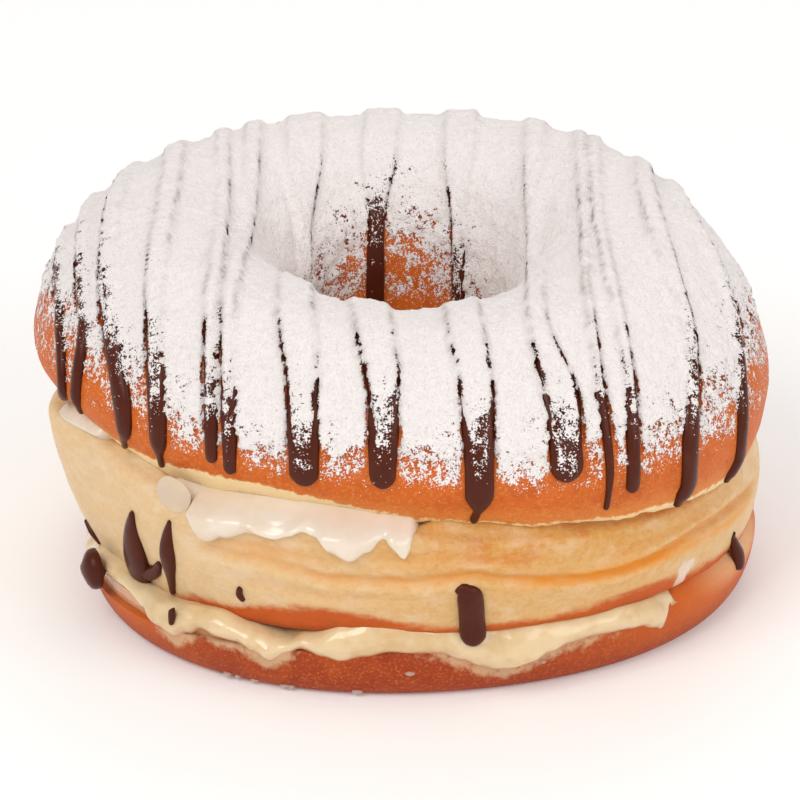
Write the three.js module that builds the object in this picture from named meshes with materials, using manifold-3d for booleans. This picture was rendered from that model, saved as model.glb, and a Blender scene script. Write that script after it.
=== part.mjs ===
// A filled ring doughnut: three layers of fried dough with cream between them,
// chocolate stripes across the top and drips of chocolate down the side.
// Millimetres, +Z up, standing on z = 0 with the hole along Z.
// Angles are degrees round the ring: 0 right (+X), 90 back (+Y), 180 left, 270 front.

import * as THREE from 'three';
import { LoftGeometry } from 'three/addons/geometries/LoftGeometry.js';
import { mergeVertices } from 'three/addons/utils/BufferGeometryUtils.js';
import Module from 'manifold-3d';

const { clamp, degToRad, lerp, smoothstep } = THREE.MathUtils;
const wasm = await Module();
wasm.setup();

// Clearance between neighbouring layers, and how far a filling overlaps them before it is trimmed
const GAP = 0.3;
const OVERLAP = 0.6;

// Spacing of the sections round the ring: even on the dome, and finer along the front of the other
// layers, where the creams hang
const DOME_STEP = 7.5;
const FRONT = { from: 190, to: 325, step: 3.75 };
const REST_STEP = 10;

// Hole through the ring: radius at the top layer's belt and at its narrowest, and centre
const HOLE_RADIUS = 17.2;
const HOLE_WAIST = 16.6;
const HOLE_PLAN = { x: 0, y: 0 };

// Outlines seen from above: centre, mean radius, waves as [count, size, peak angle]
// and single swellings or dips as [angle, half width, size]
const TOP_PLAN = { x: 0, y: 0, radius: 52.6, waves: [[1, 0.6, -58], [2, 2.2, -20], [3, 1, -37]], dips: [] };
const MIDDLE_CROWN_PLAN = {
  x: -0.3, y: 0, radius: 51.9, waves: [[1, 0.4, 0], [2, 0.6, 0]], dips: [[200, 7, 2.2], [186, 8, -2]],
};
const MIDDLE_BASE_PLAN = { x: 3, y: -1, radius: 50.2, waves: [[2, 0.4, 0]], dips: [] };
const BOTTOM_PLAN = { x: 3.4, y: -2.3, radius: 49.6, waves: [[2, 1.5, 37], [3, 1.4, -27]], dips: [] };

// Heights of the slanting cuts and thicknesses of the fillings at the rim, with their waves and dips
const TOP_CUT = { height: 27.6, waves: [[1, 5.2, 191]], dips: [[232, 16, -2.3]] };
const MIDDLE_BASE = { height: 8.4, waves: [[1, 1.7, -57], [2, 1, 90]], dips: [] };
const UPPER_FILLING = { height: 1.5, waves: [], dips: [[212, 25, -0.3]] };
const LOWER_FILLING = { height: 1.9, waves: [[1, 0.7, 240]], dips: [] };
const RIM_RADIUS = 50;

// Top layer: the belt is its widest line, and the dome rises from there to the circle of its crest
const BELT_HEIGHT = 34.9;
const BELT_TILT = -0.0395;
const DOME_RISE = { height: 19.6, waves: [[1, 1.85, 69], [2, 1.4, 12]], dips: [] };
const CREST_RADIUS = 36.9;
const DOME_OUTER_FULLNESS = 1.23;
const DOME_INNER_FULLNESS = 0.85;
const TOP_TUCK = 2.4;

// Middle layer: belly, crease round the waist and rounded rims
const MIDDLE_BELLY = 1.1;
const CREASE_DEPTH = { height: 0.9, waves: [], dips: [[205, 26, -0.7]] };
const CREASE_AT = { height: 0.5, waves: [[9, 0.09, 244]], dips: [] };
const CREASE_SPREAD = 0.08;
const MIDDLE_UNDERCUT = 2.4;
const MIDDLE_ROUNDING = { height: 2.3, waves: [[1, 0.8, 0]], dips: [] };

// Bottom layer: height of its widest line and inset of the ring that it stands on
const BOTTOM_BELLY_HEIGHT = 7.8;
const BOTTOM_INSET = 3.6;

// Creams: inner edge, the hanging edge's greatest overhang, thickness and lip, and the shares of its
// height at which it is widest and rounds off
const CREAM_INNER_RADIUS = 22;
const CREAM_OVERHANG = 1.4;
const CREAM_SKIRT = 1.7;
const CREAM_LIP = 0.5;
const CREAM_BULGE = { at: 0.3, shoulder: 0.75 };

// Reach of each cream past the layer below and its hanging lobes, as [angle, half width, size]
const UPPER_CREAM = {
  recess: -2.6,
  reach: [[205, 16, 1.4], [240, 14, 3.4], [262, 14, 3.6]],
  lobes: [[231.5, 3, 2], [238.5, 4.4, 5.2], [248.5, 4.5, 2.6], [261.8, 4.2, 4.8], [270.6, 2.6, 4.6]],
};
const LOWER_CREAM = {
  recess: -2.6,
  reach: [[208, 20, 3.2], [245, 26, 3.6], [297, 22, 4.6], [150, 26, 2.8], [105, 26, 3], [60, 16, 2.4]],
  lobes: [
    [205, 7, 2.4], [226.5, 5, 3.4], [236.5, 4, 1.6], [245, 4, 3.8], [256, 5, 1.8], [285, 9, 4.4],
    [303, 8, 1.8], [313, 3, 3.2], [60, 8, 1.4], [95, 9, 2], [125, 8, 1.2], [155, 9, 1.8],
  ],
};

// Chocolate stripes: points along each from front to back as [y, x, width], and the station above the
// cut edge where it stops
const STRIPE_HEIGHT = 1.1;
const STRIPE_SINK = 0.7;
const STRIPE_SPACING = 8;
const STRIPE_BACK_STOP = 0.55;
const STRIPE_HOLE_STOP = 3.8;
const STRIPE_TRACE_STEPS = 80;
const BISECTIONS = 40;
const RIBBON_END_SIZE = 0.55;
const STRIPES = [
  { stop: 0.12, path: [[-24, -48.3, 1.9], [-14, -49.2, 2], [0, -49.8, 2], [25, -48.6, 2]] },
  {
    stop: 0.3,
    path: [[-27, -46.6, 2.2], [-25, -45.6, 2.3], [-15, -45.7, 2.3], [10, -46, 2.3], [28, -44, 2.3]],
  },
  {
    stop: 0.35,
    path: [[-36, -38.4, 3], [-32, -39.6, 3.2], [-24, -41.1, 3.2], [-8, -41.7, 3.3], [34, -39, 3.4]],
  },
  {
    stop: 0.45,
    path: [[-40, -33.8, 2.8], [-34, -34, 3.3], [-24, -34.4, 3.2], [0, -34.2, 3.2], [36, -33.6, 3.6]],
  },
  { stop: 0.7, path: [[-44, -26.2, 1.9], [-34, -26.2, 2.3], [0, -26.6, 2.4], [38, -27.4, 2.6]] },
  { stop: 0.55, path: [[-45, -23.6, 2.2], [-34, -23.8, 2.4], [0, -23, 2.6], [38, -22.4, 3]] },
  {
    stop: 0.6,
    path: [[-49, -13.4, 3.8], [-44, -13.4, 4.2], [-36, -14.5, 5], [0, -15, 5.6], [40, -14.6, 6]],
  },
  {
    stop: 0.75,
    path: [[-50, -2.4, 3.8], [-46, -2.2, 4.6], [-38, -3.6, 5.6], [-28, -4.5, 6], [40, -2.6, 5.8]],
  },
  {
    stop: 0.55,
    path: [[-51, 11.1, 3.7], [-46, 10.8, 4.1], [-38, 9.3, 5.2], [-25, 8.8, 5.4], [40, 9.6, 5.4]],
  },
  {
    stop: 0.9,
    path: [[-48, 23.1, 5], [-43, 22.1, 5.4], [-37, 19.8, 3.7], [-20, 19.8, 3.2], [38, 21, 3.6]],
  },
  {
    stop: 0.35,
    path: [[-47, 29.6, 1.1], [-42, 27.9, 1.7], [-37, 27.1, 1.6], [0, 27.5, 1.8], [36, 27.2, 2]],
  },
  {
    stop: 0.6,
    path: [[-45, 32.6, 2.1], [-40, 32, 2.1], [-32, 30.7, 2.1], [-12, 29.6, 2], [36, 29.6, 2.2]],
  },
  {
    stop: 0.1,
    path: [[-40, 40.6, 2.6], [-34, 40.9, 2.9], [-28, 40.5, 3], [-18, 38.6, 3], [-6, 37.1, 3], [34, 36, 3]],
  },
  {
    stop: 0.1,
    path: [[-30, 48.8, 2.4], [-22, 48.6, 2.4], [-15, 47.5, 2.4], [2, 42.4, 2.4], [30, 39.8, 2.4]],
  },
];

// Chocolate drips on the side: angle and height of each end, with width and thickness,
// and the share of that width from the thin start to the round end
const DRIP_SIZES = [0.35, 0.75, 1, 0.95, 0.5];
const MIDDLE_DRIPS = [
  { from: [221.6, 22.6], to: [217.6, 11.6], width: 3.6, thickness: 1.2 },
  { from: [230.6, 23.8], to: [225.8, 12.8], width: 2.6, thickness: 1 },
  { from: [279.2, 19.8], to: [278.2, 12.6], width: 3.9, thickness: 1.3 },
  { from: [331.5, 15.5], to: [334, 11.2], width: 2.4, thickness: 1 },
];
const CREAM_DRIPS = [
  { from: [199.5, 8.4], to: [199.5, 4.8], width: 3.6, thickness: 1.4 },
];

// Colour and roughness of each layer
const BOTTOM_FINISH = { color: 0xb0572c, roughness: 0.6 };
const LOWER_CREAM_FINISH = { color: 0xefd9ad, roughness: 0.3 };
const MIDDLE_FINISH = { color: 0xefd2a0, roughness: 0.7 };
const UPPER_CREAM_FINISH = { color: 0xfaf0de, roughness: 0.3 };
const TOP_FINISH = { color: 0xd9813c, roughness: 0.6 };

// Sum of the waves of a list at an angle
function waves(list, angle) {
  return list.reduce((sum, [count, size, peak]) => {
    const phase = degToRad(count * (angle - peak));
    return sum + size * Math.cos(phase);
  }, 0);
}

// Sum of the single bumps of a list at an angle
function bumps(list, angle) {
  return list.reduce((sum, [at, halfWidth, size]) => {
    const away = ((angle - at + 540) % 360) - 180;
    return sum + size * Math.exp(-((away / halfWidth) ** 2));
  }, 0);
}

// Height of a slanting surface: its waves fade towards the ring's axis, so a single wave is a plane
function level(surface, angle, radius = RIM_RADIUS) {
  const lift = waves(surface.waves, angle) + bumps(surface.dips, angle);
  return surface.height + lift * radius / RIM_RADIUS;
}

// Outer radius of an outline, and a point at a radius from its centre
function planRadius(plan, angle) {
  return plan.radius + waves(plan.waves, angle) + bumps(plan.dips, angle);
}

function ringPoint(plan, angle, radius, height) {
  const turn = degToRad(angle);
  return new THREE.Vector3(plan.x + radius * Math.cos(turn), plan.y + radius * Math.sin(turn), height);
}

// Outline part of the way up from one plan to another
function mixPlans(low, high, share, angle) {
  return {
    x: lerp(low.x, high.x, share),
    y: lerp(low.y, high.y, share),
    radius: lerp(planRadius(low, angle), planRadius(high, angle), share),
  };
}

// Point of the top layer: s runs 0 to 1 up the tucked-in edge, 1 to 2 over the outer dome,
// 2 to 3 down the inner dome and 3 to 4 down the wall of the hole
function topPoint(angle, s, grow = 0) {
  const outer = planRadius(TOP_PLAN, angle) + grow;
  const inner = HOLE_RADIUS - grow;
  const rise = level(DOME_RISE, angle);
  const beltAt = (radius) => BELT_HEIGHT + BELT_TILT * radius * Math.cos(degToRad(angle));
  if (s <= 1) {
    const down = 1 - s;
    const radius = outer - TOP_TUCK * down ** 2;
    const cut = level(TOP_CUT, angle, radius) - grow;
    return ringPoint(TOP_PLAN, angle, radius, lerp(beltAt(radius), cut, down));
  }
  if (s <= 3) {
    const turn = degToRad(90 * (s - 1));
    const fullness = s <= 2 ? DOME_OUTER_FULLNESS : DOME_INNER_FULLNESS;
    const half = (s <= 2 ? outer : inner) - CREST_RADIUS;
    const radius = CREST_RADIUS + half * Math.abs(Math.cos(turn)) ** fullness;
    const height = beltAt(radius) + rise * Math.abs(Math.sin(turn)) ** fullness;
    return ringPoint(TOP_PLAN, angle, radius, height);
  }
  const down = s - 3;
  const radius = lerp(inner, HOLE_WAIST - grow, down);
  const cut = level(TOP_CUT, angle, radius) - grow;
  return ringPoint(TOP_PLAN, angle, radius, lerp(beltAt(inner), cut, down));
}

const TOP_STATIONS = [0, 0.35, 1, 1.25, 1.5, 1.75, 2, 2.3, 2.55, 2.8, 3, 4];

function topSection(angle, grow = 0) {
  return TOP_STATIONS.map((s) => topPoint(angle, s, grow));
}

// Upper face of the middle layer, one filling below the top layer's cut
function middleCrown(angle, radius) {
  return level(TOP_CUT, angle, radius) - level(UPPER_FILLING, angle);
}

// Point on the side of the middle layer, share 0 at its lower corner and 1 at its upper one
function middlePoint(angle, share, grow = 0) {
  const plan = mixPlans(MIDDLE_BASE_PLAN, MIDDLE_CROWN_PLAN, share, angle);
  const low = level(MIDDLE_BASE, angle) + level(MIDDLE_ROUNDING, angle);
  const high = middleCrown(angle, RIM_RADIUS) + grow;
  const fromCrease = (share - level(CREASE_AT, angle)) / CREASE_SPREAD;
  const belly = MIDDLE_BELLY * Math.sin(Math.PI * share);
  const crease = level(CREASE_DEPTH, angle) * Math.exp(-(fromCrease ** 2));
  return ringPoint(plan, angle, plan.radius + belly - crease + grow, lerp(low, high, share));
}

const MIDDLE_STATIONS = [0, 0.2, 0.38, 0.5, 0.62, 0.85, 1];

function middleSection(angle, grow = 0) {
  const side = MIDDLE_STATIONS.map((share) => middlePoint(angle, share, grow));
  const footRadius = planRadius(MIDDLE_BASE_PLAN, angle) - MIDDLE_UNDERCUT + grow;
  const foot = ringPoint(MIDDLE_BASE_PLAN, angle, footRadius, level(MIDDLE_BASE, angle) - grow);
  const innerRadius = HOLE_WAIST - grow;
  const innerHigh = ringPoint(HOLE_PLAN, angle, innerRadius, middleCrown(angle, innerRadius) + grow);
  const innerLow = ringPoint(HOLE_PLAN, angle, innerRadius, level(MIDDLE_BASE, angle, innerRadius) - grow);
  return [foot, ...side, innerHigh, innerLow];
}

// Upper face of the bottom layer, one filling below the middle layer
function bottomCut(angle, radius) {
  return level(MIDDLE_BASE, angle, radius) - level(LOWER_FILLING, angle);
}

// Radius of the bottom layer's side at a height: a quarter ellipse up to its widest line
function bottomRadius(angle, height) {
  const below = Math.max(0, 1 - height / BOTTOM_BELLY_HEIGHT);
  return planRadius(BOTTOM_PLAN, angle) - BOTTOM_INSET * (1 - Math.sqrt(1 - below ** 2));
}

const BOTTOM_STATIONS = [0, 0.1, 0.3, 0.6, 1];

function bottomSection(angle, grow = 0) {
  const rim = bottomCut(angle, RIM_RADIUS) + grow;
  const side = BOTTOM_STATIONS.map((share) => {
    const height = share * rim;
    return ringPoint(BOTTOM_PLAN, angle, bottomRadius(angle, height) + grow, height);
  });
  const innerHigh = ringPoint(HOLE_PLAN, angle, HOLE_WAIST - grow, bottomCut(angle, HOLE_WAIST) + grow);
  const innerMid = ringPoint(HOLE_PLAN, angle, HOLE_RADIUS - grow, bottomCut(angle, HOLE_RADIUS) / 2);
  const innerLow = ringPoint(HOLE_PLAN, angle, HOLE_RADIUS + BOTTOM_INSET / 2 - grow, 0);
  return [...side, innerHigh, innerMid, innerLow];
}

// Section of a filling that overlaps the layers above and below it and hangs over the lower one's side
function creamSection(angle, cream, wall, lowAt, highAt) {
  const reach = cream.recess + bumps(cream.reach, angle);
  const outer = wall.radius + Math.min(reach, CREAM_OVERHANG);
  const low = lowAt(RIM_RADIUS);
  const high = highAt(RIM_RADIUS);
  const tip = low - bumps(cream.lobes, angle) * smoothstep(reach, -CREAM_LIP, CREAM_LIP);
  const at = (radius, height) => ringPoint(wall, angle, radius, height);
  return [
    at(outer - 2 * CREAM_SKIRT, low - OVERLAP),
    at(outer - CREAM_SKIRT, tip),
    at(outer - CREAM_LIP, tip),
    at(outer, lerp(tip, high, CREAM_BULGE.at)),
    at(outer - CREAM_LIP / 2, lerp(tip, high, CREAM_BULGE.shoulder)),
    at(outer - CREAM_SKIRT, high + OVERLAP),
    ringPoint(HOLE_PLAN, angle, CREAM_INNER_RADIUS, highAt(CREAM_INNER_RADIUS) + OVERLAP),
    ringPoint(HOLE_PLAN, angle, CREAM_INNER_RADIUS, lowAt(CREAM_INNER_RADIUS) - OVERLAP),
  ];
}

function upperCreamSection(angle) {
  const wall = mixPlans(MIDDLE_BASE_PLAN, MIDDLE_CROWN_PLAN, 1, angle);
  const lowAt = (radius) => middleCrown(angle, radius);
  const highAt = (radius) => level(TOP_CUT, angle, radius);
  return creamSection(angle, UPPER_CREAM, wall, lowAt, highAt);
}

function lowerCreamSection(angle) {
  const wall = mixPlans(BOTTOM_PLAN, BOTTOM_PLAN, 1, angle);
  const lowAt = (radius) => bottomCut(angle, radius);
  const highAt = (radius) => level(MIDDLE_BASE, angle, radius);
  return creamSection(angle, LOWER_CREAM, wall, lowAt, highAt);
}

// Angles from one to another at an even step, without the last
function anglesBetween(from, to, step) {
  const count = Math.round((to - from) / step);
  return Array.from({ length: count }, (_, i) => lerp(from, to, i / count));
}

const DOME_ANGLES = anglesBetween(0, 360, DOME_STEP);
const LAYER_ANGLES = [
  ...anglesBetween(FRONT.from, FRONT.to, FRONT.step),
  ...anglesBetween(FRONT.to, FRONT.from + 360, REST_STEP),
];

// Closed mesh with its shared corners merged, as a solid that can be joined and cut
function toSolid(loft) {
  const geometry = new THREE.BufferGeometry().copy(loft);
  geometry.deleteAttribute('normal');
  geometry.deleteAttribute('uv');
  const merged = mergeVertices(geometry);
  const vertProperties = new Float32Array(merged.attributes.position.array);
  const triVerts = new Uint32Array(merged.index.array);
  return new wasm.Manifold(new wasm.Mesh({ numProp: 3, vertProperties, triVerts }));
}

// Ring lofted through its sections, with the last one joined to the first
function ringSolid(section, angles = LAYER_ANGLES) {
  const sections = angles.map((angle) => section(angle).reverse());
  sections.push(sections[0]);
  return toSolid(new LoftGeometry(sections));
}

// Crown of a ribbon of chocolate, as [across, up] in shares of its width and height
const RIBBON_CROWN = [[-0.46, 0.5], [-0.2, 1], [0.2, 1], [0.46, 0.5]];

// Ribbon along a path of { point, normal, size } steps, sunk a little into what it lies on
function ribbonSolid(path, width, height) {
  const last = path.length - 1;
  const sections = path.map(({ point, normal, size }, i) => {
    const ahead = path[Math.min(i + 1, last)].point;
    const behind = path[Math.max(i - 1, 0)].point;
    const along = new THREE.Vector3().subVectors(ahead, behind).normalize();
    const across = new THREE.Vector3().crossVectors(along, normal).normalize();
    const at = (side, up) => point.clone().addScaledVector(across, side).addScaledVector(normal, up);
    const crown = RIBBON_CROWN.map(([side, up]) => at(side * width * size, up * height * Math.sqrt(size)));
    return [at(0.5 * width * size, -STRIPE_SINK), at(-0.5 * width * size, -STRIPE_SINK), ...crown];
  });
  return toSolid(new LoftGeometry(sections, { capStart: true, capEnd: true }));
}

// Outward direction of a surface given by a function of angle and share
function normalOf(surface, angle, share) {
  const small = 0.01;
  const round = surface(angle + small, share).sub(surface(angle - small, share));
  const up = surface(angle, share + small).sub(surface(angle, share - small));
  return round.cross(up).normalize();
}

// Place across and width of a stripe at a distance from front to back
function stripeAt(stripe, y) {
  const { path } = stripe;
  const found = path.findIndex((stop) => stop[0] > y);
  const next = found === -1 ? path.length - 1 : Math.max(found, 1);
  const [before, after] = [path[next - 1], path[next]];
  const share = clamp((y - before[0]) / (after[0] - before[0]), 0, 1);
  return { x: lerp(before[1], after[1], share), width: lerp(before[2], after[2], share) };
}

// Angle at which the dome meets a stripe at a station, or null where it runs past the ring
function stripeAngle(stripe, s, back) {
  const offset = (angle) => {
    const point = topPoint(angle, s);
    return (point.x - stripeAt(stripe, point.y).x) * (back ? -1 : 1);
  };
  let low = back ? 0 : 180;
  let high = low + 180;
  if (offset(low) > 0 || offset(high) < 0) {
    return null;
  }
  for (let i = 0; i < BISECTIONS; i += 1) {
    const mid = (low + high) / 2;
    if (offset(mid) < 0) {
      low = mid;
    } else {
      high = mid;
    }
  }
  return (low + high) / 2;
}

// Steps of a stripe up one side of the ring, from its end at the rim to the hole or to the ring's side
function stripeSide(stripe, from, to, back) {
  const steps = [];
  for (let i = 0; i <= STRIPE_TRACE_STEPS; i += 1) {
    const s = lerp(from, to, i / STRIPE_TRACE_STEPS);
    const angle = stripeAngle(stripe, s, back);
    if (angle !== null) {
      steps.push({ point: topPoint(angle, s), normal: normalOf(topPoint, angle, s) });
    }
  }
  return steps;
}

// Path of a stripe resampled to an even spacing, narrow at both ends
function evenPath(stripe, steps, spacing) {
  const lengths = [0];
  for (let i = 1; i < steps.length; i += 1) {
    lengths.push(lengths[i - 1] + steps[i].point.distanceTo(steps[i - 1].point));
  }
  const total = lengths[lengths.length - 1];
  const count = Math.max(3, Math.round(total / spacing));
  const path = [];
  for (let i = 0; i <= count; i += 1) {
    const target = total * i / count;
    const next = Math.max(1, lengths.findIndex((length) => length >= target - 1e-9));
    const share = (target - lengths[next - 1]) / (lengths[next] - lengths[next - 1]);
    const point = steps[next - 1].point.clone().lerp(steps[next].point, share);
    const normal = steps[next - 1].normal.clone().lerp(steps[next].normal, share).normalize();
    const isEnd = i === 0 || i === count;
    const spread = stripeAt(stripe, point.y).width / stripe.path[0][2];
    path.push({ point, normal, size: isEnd ? RIBBON_END_SIZE : spread });
  }
  return path;
}

// A stripe is one ribbon over the ring's side, or two where the hole parts it
function stripeSolids(stripe) {
  const front = stripeSide(stripe, stripe.stop, STRIPE_HOLE_STOP, false);
  const back = stripeSide(stripe, STRIPE_BACK_STOP, STRIPE_HOLE_STOP, true);
  const parted = stripeAngle(stripe, 3, false) !== null;
  const runs = parted ? [front, back] : [[...front, ...back.reverse()]];
  const width = stripe.path[0][2];
  return runs.map((run) => ribbonSolid(evenPath(stripe, run, STRIPE_SPACING), width, STRIPE_HEIGHT));
}

// Share of the way up a side at which its surface has a height
function shareAt(surface, angle, height) {
  const low = surface(angle, 0).z;
  const high = surface(angle, 1).z;
  return (height - low) / (high - low);
}

// A drip runs down a side from one angle and height to another
function dripSolid(drip, surface) {
  const path = DRIP_SIZES.map((size, i) => {
    const down = i / (DRIP_SIZES.length - 1);
    const angle = lerp(drip.from[0], drip.to[0], down);
    const share = shareAt(surface, angle, lerp(drip.from[1], drip.to[1], down));
    return { point: surface(angle, share), normal: normalOf(surface, angle, share), size };
  });
  return ribbonSolid(path, drip.width, drip.thickness);
}

// Side of the lower cream's hanging edge, straight up from the base
function creamSide(angle, share) {
  const reach = Math.min(LOWER_CREAM.recess + bumps(LOWER_CREAM.reach, angle), CREAM_OVERHANG);
  const radius = planRadius(BOTTOM_PLAN, angle) + reach - CREAM_LIP / 2;
  return ringPoint(BOTTOM_PLAN, angle, radius, share * MIDDLE_BASE.height);
}

// Largest of the bodies that a cut or a join leaves, without scraps and sealed hollows
function largestBody(solid) {
  return solid.decompose().sort((a, b) => b.volume() - a.volume())[0];
}

// Named mesh of a solid
function layerMesh(name, solid, finish) {
  const { vertProperties, triVerts } = solid.getMesh();
  const geometry = new THREE.BufferGeometry();
  geometry.setAttribute('position', new THREE.BufferAttribute(vertProperties, 3));
  geometry.setIndex(new THREE.BufferAttribute(triVerts, 1));
  geometry.computeVertexNormals();
  const material = new THREE.MeshStandardMaterial({ ...finish, metalness: 0 });
  const mesh = new THREE.Mesh(geometry, material);
  mesh.name = name;
  return mesh;
}

const grownTop = ringSolid((angle) => topSection(angle, GAP), DOME_ANGLES);
const grownMiddle = ringSolid((angle) => middleSection(angle, GAP));
const grownBottom = ringSolid((angle) => bottomSection(angle, GAP));

const topStripes = STRIPES.flatMap(stripeSolids);
const dome = ringSolid((angle) => topSection(angle), DOME_ANGLES);
const topLayer = largestBody(topStripes.reduce((body, stripe) => body.add(stripe), dome));

const middleDrips = MIDDLE_DRIPS.map((drip) => dripSolid(drip, middlePoint));
const waist = ringSolid((angle) => middleSection(angle));
const middleLayer = middleDrips.reduce((body, drip) => body.add(drip), waist);

const creamDrips = CREAM_DRIPS.map((drip) => dripSolid(drip, creamSide));
const lowerRing = creamDrips.reduce((body, drip) => body.add(drip), ringSolid(lowerCreamSection));
const lowerCream = largestBody(lowerRing.subtract(grownBottom).subtract(grownMiddle));
const upperCream = largestBody(ringSolid(upperCreamSection).subtract(grownMiddle).subtract(grownTop));

const doughnut = new THREE.Group();
doughnut.add(layerMesh('bottom_layer', ringSolid((angle) => bottomSection(angle)), BOTTOM_FINISH));
doughnut.add(layerMesh('lower_cream', lowerCream, LOWER_CREAM_FINISH));
doughnut.add(layerMesh('middle_layer', middleLayer, MIDDLE_FINISH));
doughnut.add(layerMesh('upper_cream', upperCream, UPPER_CREAM_FINISH));
doughnut.add(layerMesh('top_layer', topLayer, TOP_FINISH));

// Origin under the middle of the whole, on the surface that it stands on
const box = new THREE.Box3().setFromObject(doughnut);
const centre = box.getCenter(new THREE.Vector3());
doughnut.position.set(-centre.x, -centre.y, -box.min.z);

export default doughnut;
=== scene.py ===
"""The looks of a filled ring doughnut: crust, crumb, creams, chocolate and sugar.

Shape functions work in millimetres and in degrees round the ring: 0 right (+X), 90 back (+Y),
180 left and 270 front. Meshes are written in metres.
"""

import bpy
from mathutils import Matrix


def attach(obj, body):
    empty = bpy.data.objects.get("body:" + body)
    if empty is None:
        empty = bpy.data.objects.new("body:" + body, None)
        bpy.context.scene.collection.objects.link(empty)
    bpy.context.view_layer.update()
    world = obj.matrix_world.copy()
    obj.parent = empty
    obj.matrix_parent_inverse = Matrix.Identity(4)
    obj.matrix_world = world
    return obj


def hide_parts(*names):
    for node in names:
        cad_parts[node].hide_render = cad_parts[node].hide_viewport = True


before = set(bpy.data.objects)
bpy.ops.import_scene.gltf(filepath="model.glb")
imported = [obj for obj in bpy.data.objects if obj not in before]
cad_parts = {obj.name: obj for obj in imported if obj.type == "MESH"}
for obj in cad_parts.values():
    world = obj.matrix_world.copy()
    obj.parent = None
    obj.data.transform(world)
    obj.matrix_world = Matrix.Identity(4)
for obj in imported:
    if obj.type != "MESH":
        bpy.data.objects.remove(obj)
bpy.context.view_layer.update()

import math
from collections import namedtuple

import bpy
import numpy as np
from bpy.props import FloatProperty, FloatVectorProperty, IntProperty, PointerProperty
from mathutils import Vector, noise

bl_info = {
    "name": "Filled ring doughnut",
    "version": (1, 0, 0),
    "blender": (4, 5, 0),
    "location": "View3D > Sidebar > Doughnut",
    "description": "Builds the crust, crumb, creams, chocolate and sugar of a filled ring doughnut",
    "category": "Add Mesh",
}

MM = 0.001
BODY = "root"
WELD = 1e-7
FRONT = 270.0

# What changes round the ring: waves are (count, size, peak angle), bumps (angle, half width, size)
Plan = namedtuple("Plan", "x y radius waves bumps", defaults=((), ()))
Level = namedtuple("Level", "height waves bumps", defaults=((), ()))

# Middle of the ring in the frame, and the radius at which slanting surfaces have their full waves
RING_CENTRE = (-0.103, 0.257)
RIM_RADIUS = 50

# Outlines of the layers from above
TOP_PLAN = Plan(0, 0, 52.6, ((1, 0.6, -58), (2, 2.2, -20), (3, 1, -37)))
MIDDLE_CROWN_PLAN = Plan(-0.3, 0, 51.9, ((1, 0.4, 0), (2, 0.6, 0)), ((200, 7, 2.2), (186, 8, -2)))
MIDDLE_BASE_PLAN = Plan(3, -1, 50.2, ((2, 0.4, 0),))
BOTTOM_PLAN = Plan(3.4, -2.3, 49.6, ((2, 1.5, 37), (3, 1.4, -27)))

# Heights of the cuts, the fillings' thickness and the dome's rise
TOP_CUT = Level(27.6, ((1, 5.2, 191),), ((232, 16, -2.3),))
MIDDLE_BASE = Level(8.4, ((1, 1.7, -57), (2, 1, 90)))
MIDDLE_ROUNDING = Level(2.3, ((1, 0.8, 0),))
UPPER_FILLING = Level(1.5, (), ((212, 25, -0.3),))
LOWER_FILLING = Level(1.9, ((1, 0.7, 240),))
DOME_RISE = Level(19.6, ((1, 1.85, 69), (2, 1.4, 12)))

# Profiles of the layers
BELT_TILT = -0.0395
DOME_OUTER_FULLNESS = 1.23
DOME_INNER_FULLNESS = 0.85
TOP_TUCK = 2.4
MIDDLE_BELLY = 1.1
MIDDLE_UNDERCUT = 1.3
MIDDLE_LIP = 0.7
MIDDLE_LIP_START = 0.93
MIDDLE_STRAIGHT = 0.92
BOTTOM_BELLY_HEIGHT = 7.8
BOTTOM_INSET = 3.6
HOLE_WAIST_INSET = 0.6

# Shares of the way up the waist and the top's edge, below which they are browned or torn
BROWN_EDGE = Level(-0.06, (), (
    (256, 11, 0.2), (244, 8, 0.1), (231, 7, 0.08), (306, 14, 0.06), (210, 12, -0.04),
))
TORN_RIM = Level(0.02, (), ((240, 19, 0.42), (312, 7, 0.08), (330, 7, 0.07), (120, 30, 0.08)))

# Ragged cut of the top: depth, feature size and octaves of its tears, and the station up to which they reach
RIM_TEARS = ((0.45, 3.5, 3), (0.2, 1.2, 1))
RIM_TEAR_REACH = 0.22

# Dusting painted on the crust and the stripes: the crust's share of the sugar's cover and what it loses, and
# for the stripes how far up a side has to look, how fast the dust sets in and its fading at low heights, mm
CRUST_DUST = 0.5
CRUST_DUST_LOSS = 0.1
STRIPE_DUST_LEAST_UP = 0.6
STRIPE_DUST_RATE = 1.2
STRIPE_DUST_FADE = 0.5
STRIPE_DUST_HEIGHTS = (40, 48)

# Creases of the waist: stops as (angle, share of the way up), and the depth as a share of the main one's.
# Each wanders by waves of (size, rate), fades at its ends over some degrees and has a soft swell below it
Crease = namedtuple("Crease", "stops depth")
CREASES = (
    Crease((
        (232, 0.62), (248, 0.6), (257, 0.49), (272, 0.52), (279.5, 0.6), (289, 0.49), (298, 0.39),
        (304, 0.37), (309, 0.41), (320, 0.57), (334, 0.6), (350, 0.5),
    ), 1),
    Crease(((234, 0.74), (246, 0.72), (256, 0.67), (262, 0.7)), 0.6),
    Crease(((262, 0.72), (275, 0.8), (286, 0.77), (296, 0.8)), 0.5),
    Crease(((300, 0.6), (312, 0.7), (328, 0.78)), 0.5),
    Crease(((238, 0.36), (256, 0.3), (270, 0.33)), 0.3),
    Crease(((20, 0.5), (60, 0.56), (100, 0.48), (150, 0.52)), 0.7),
)
CREASE_SPREAD = 0.065
CREASE_WANDER = ((0.006, 0.9), (0.004, 1.7))
CREASE_FADE = 9
CREASE_SWELL = 0.3
CREASE_SWELL_DROP = 0.1
CREASE_SWELL_SPREAD = 0.07

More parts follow.
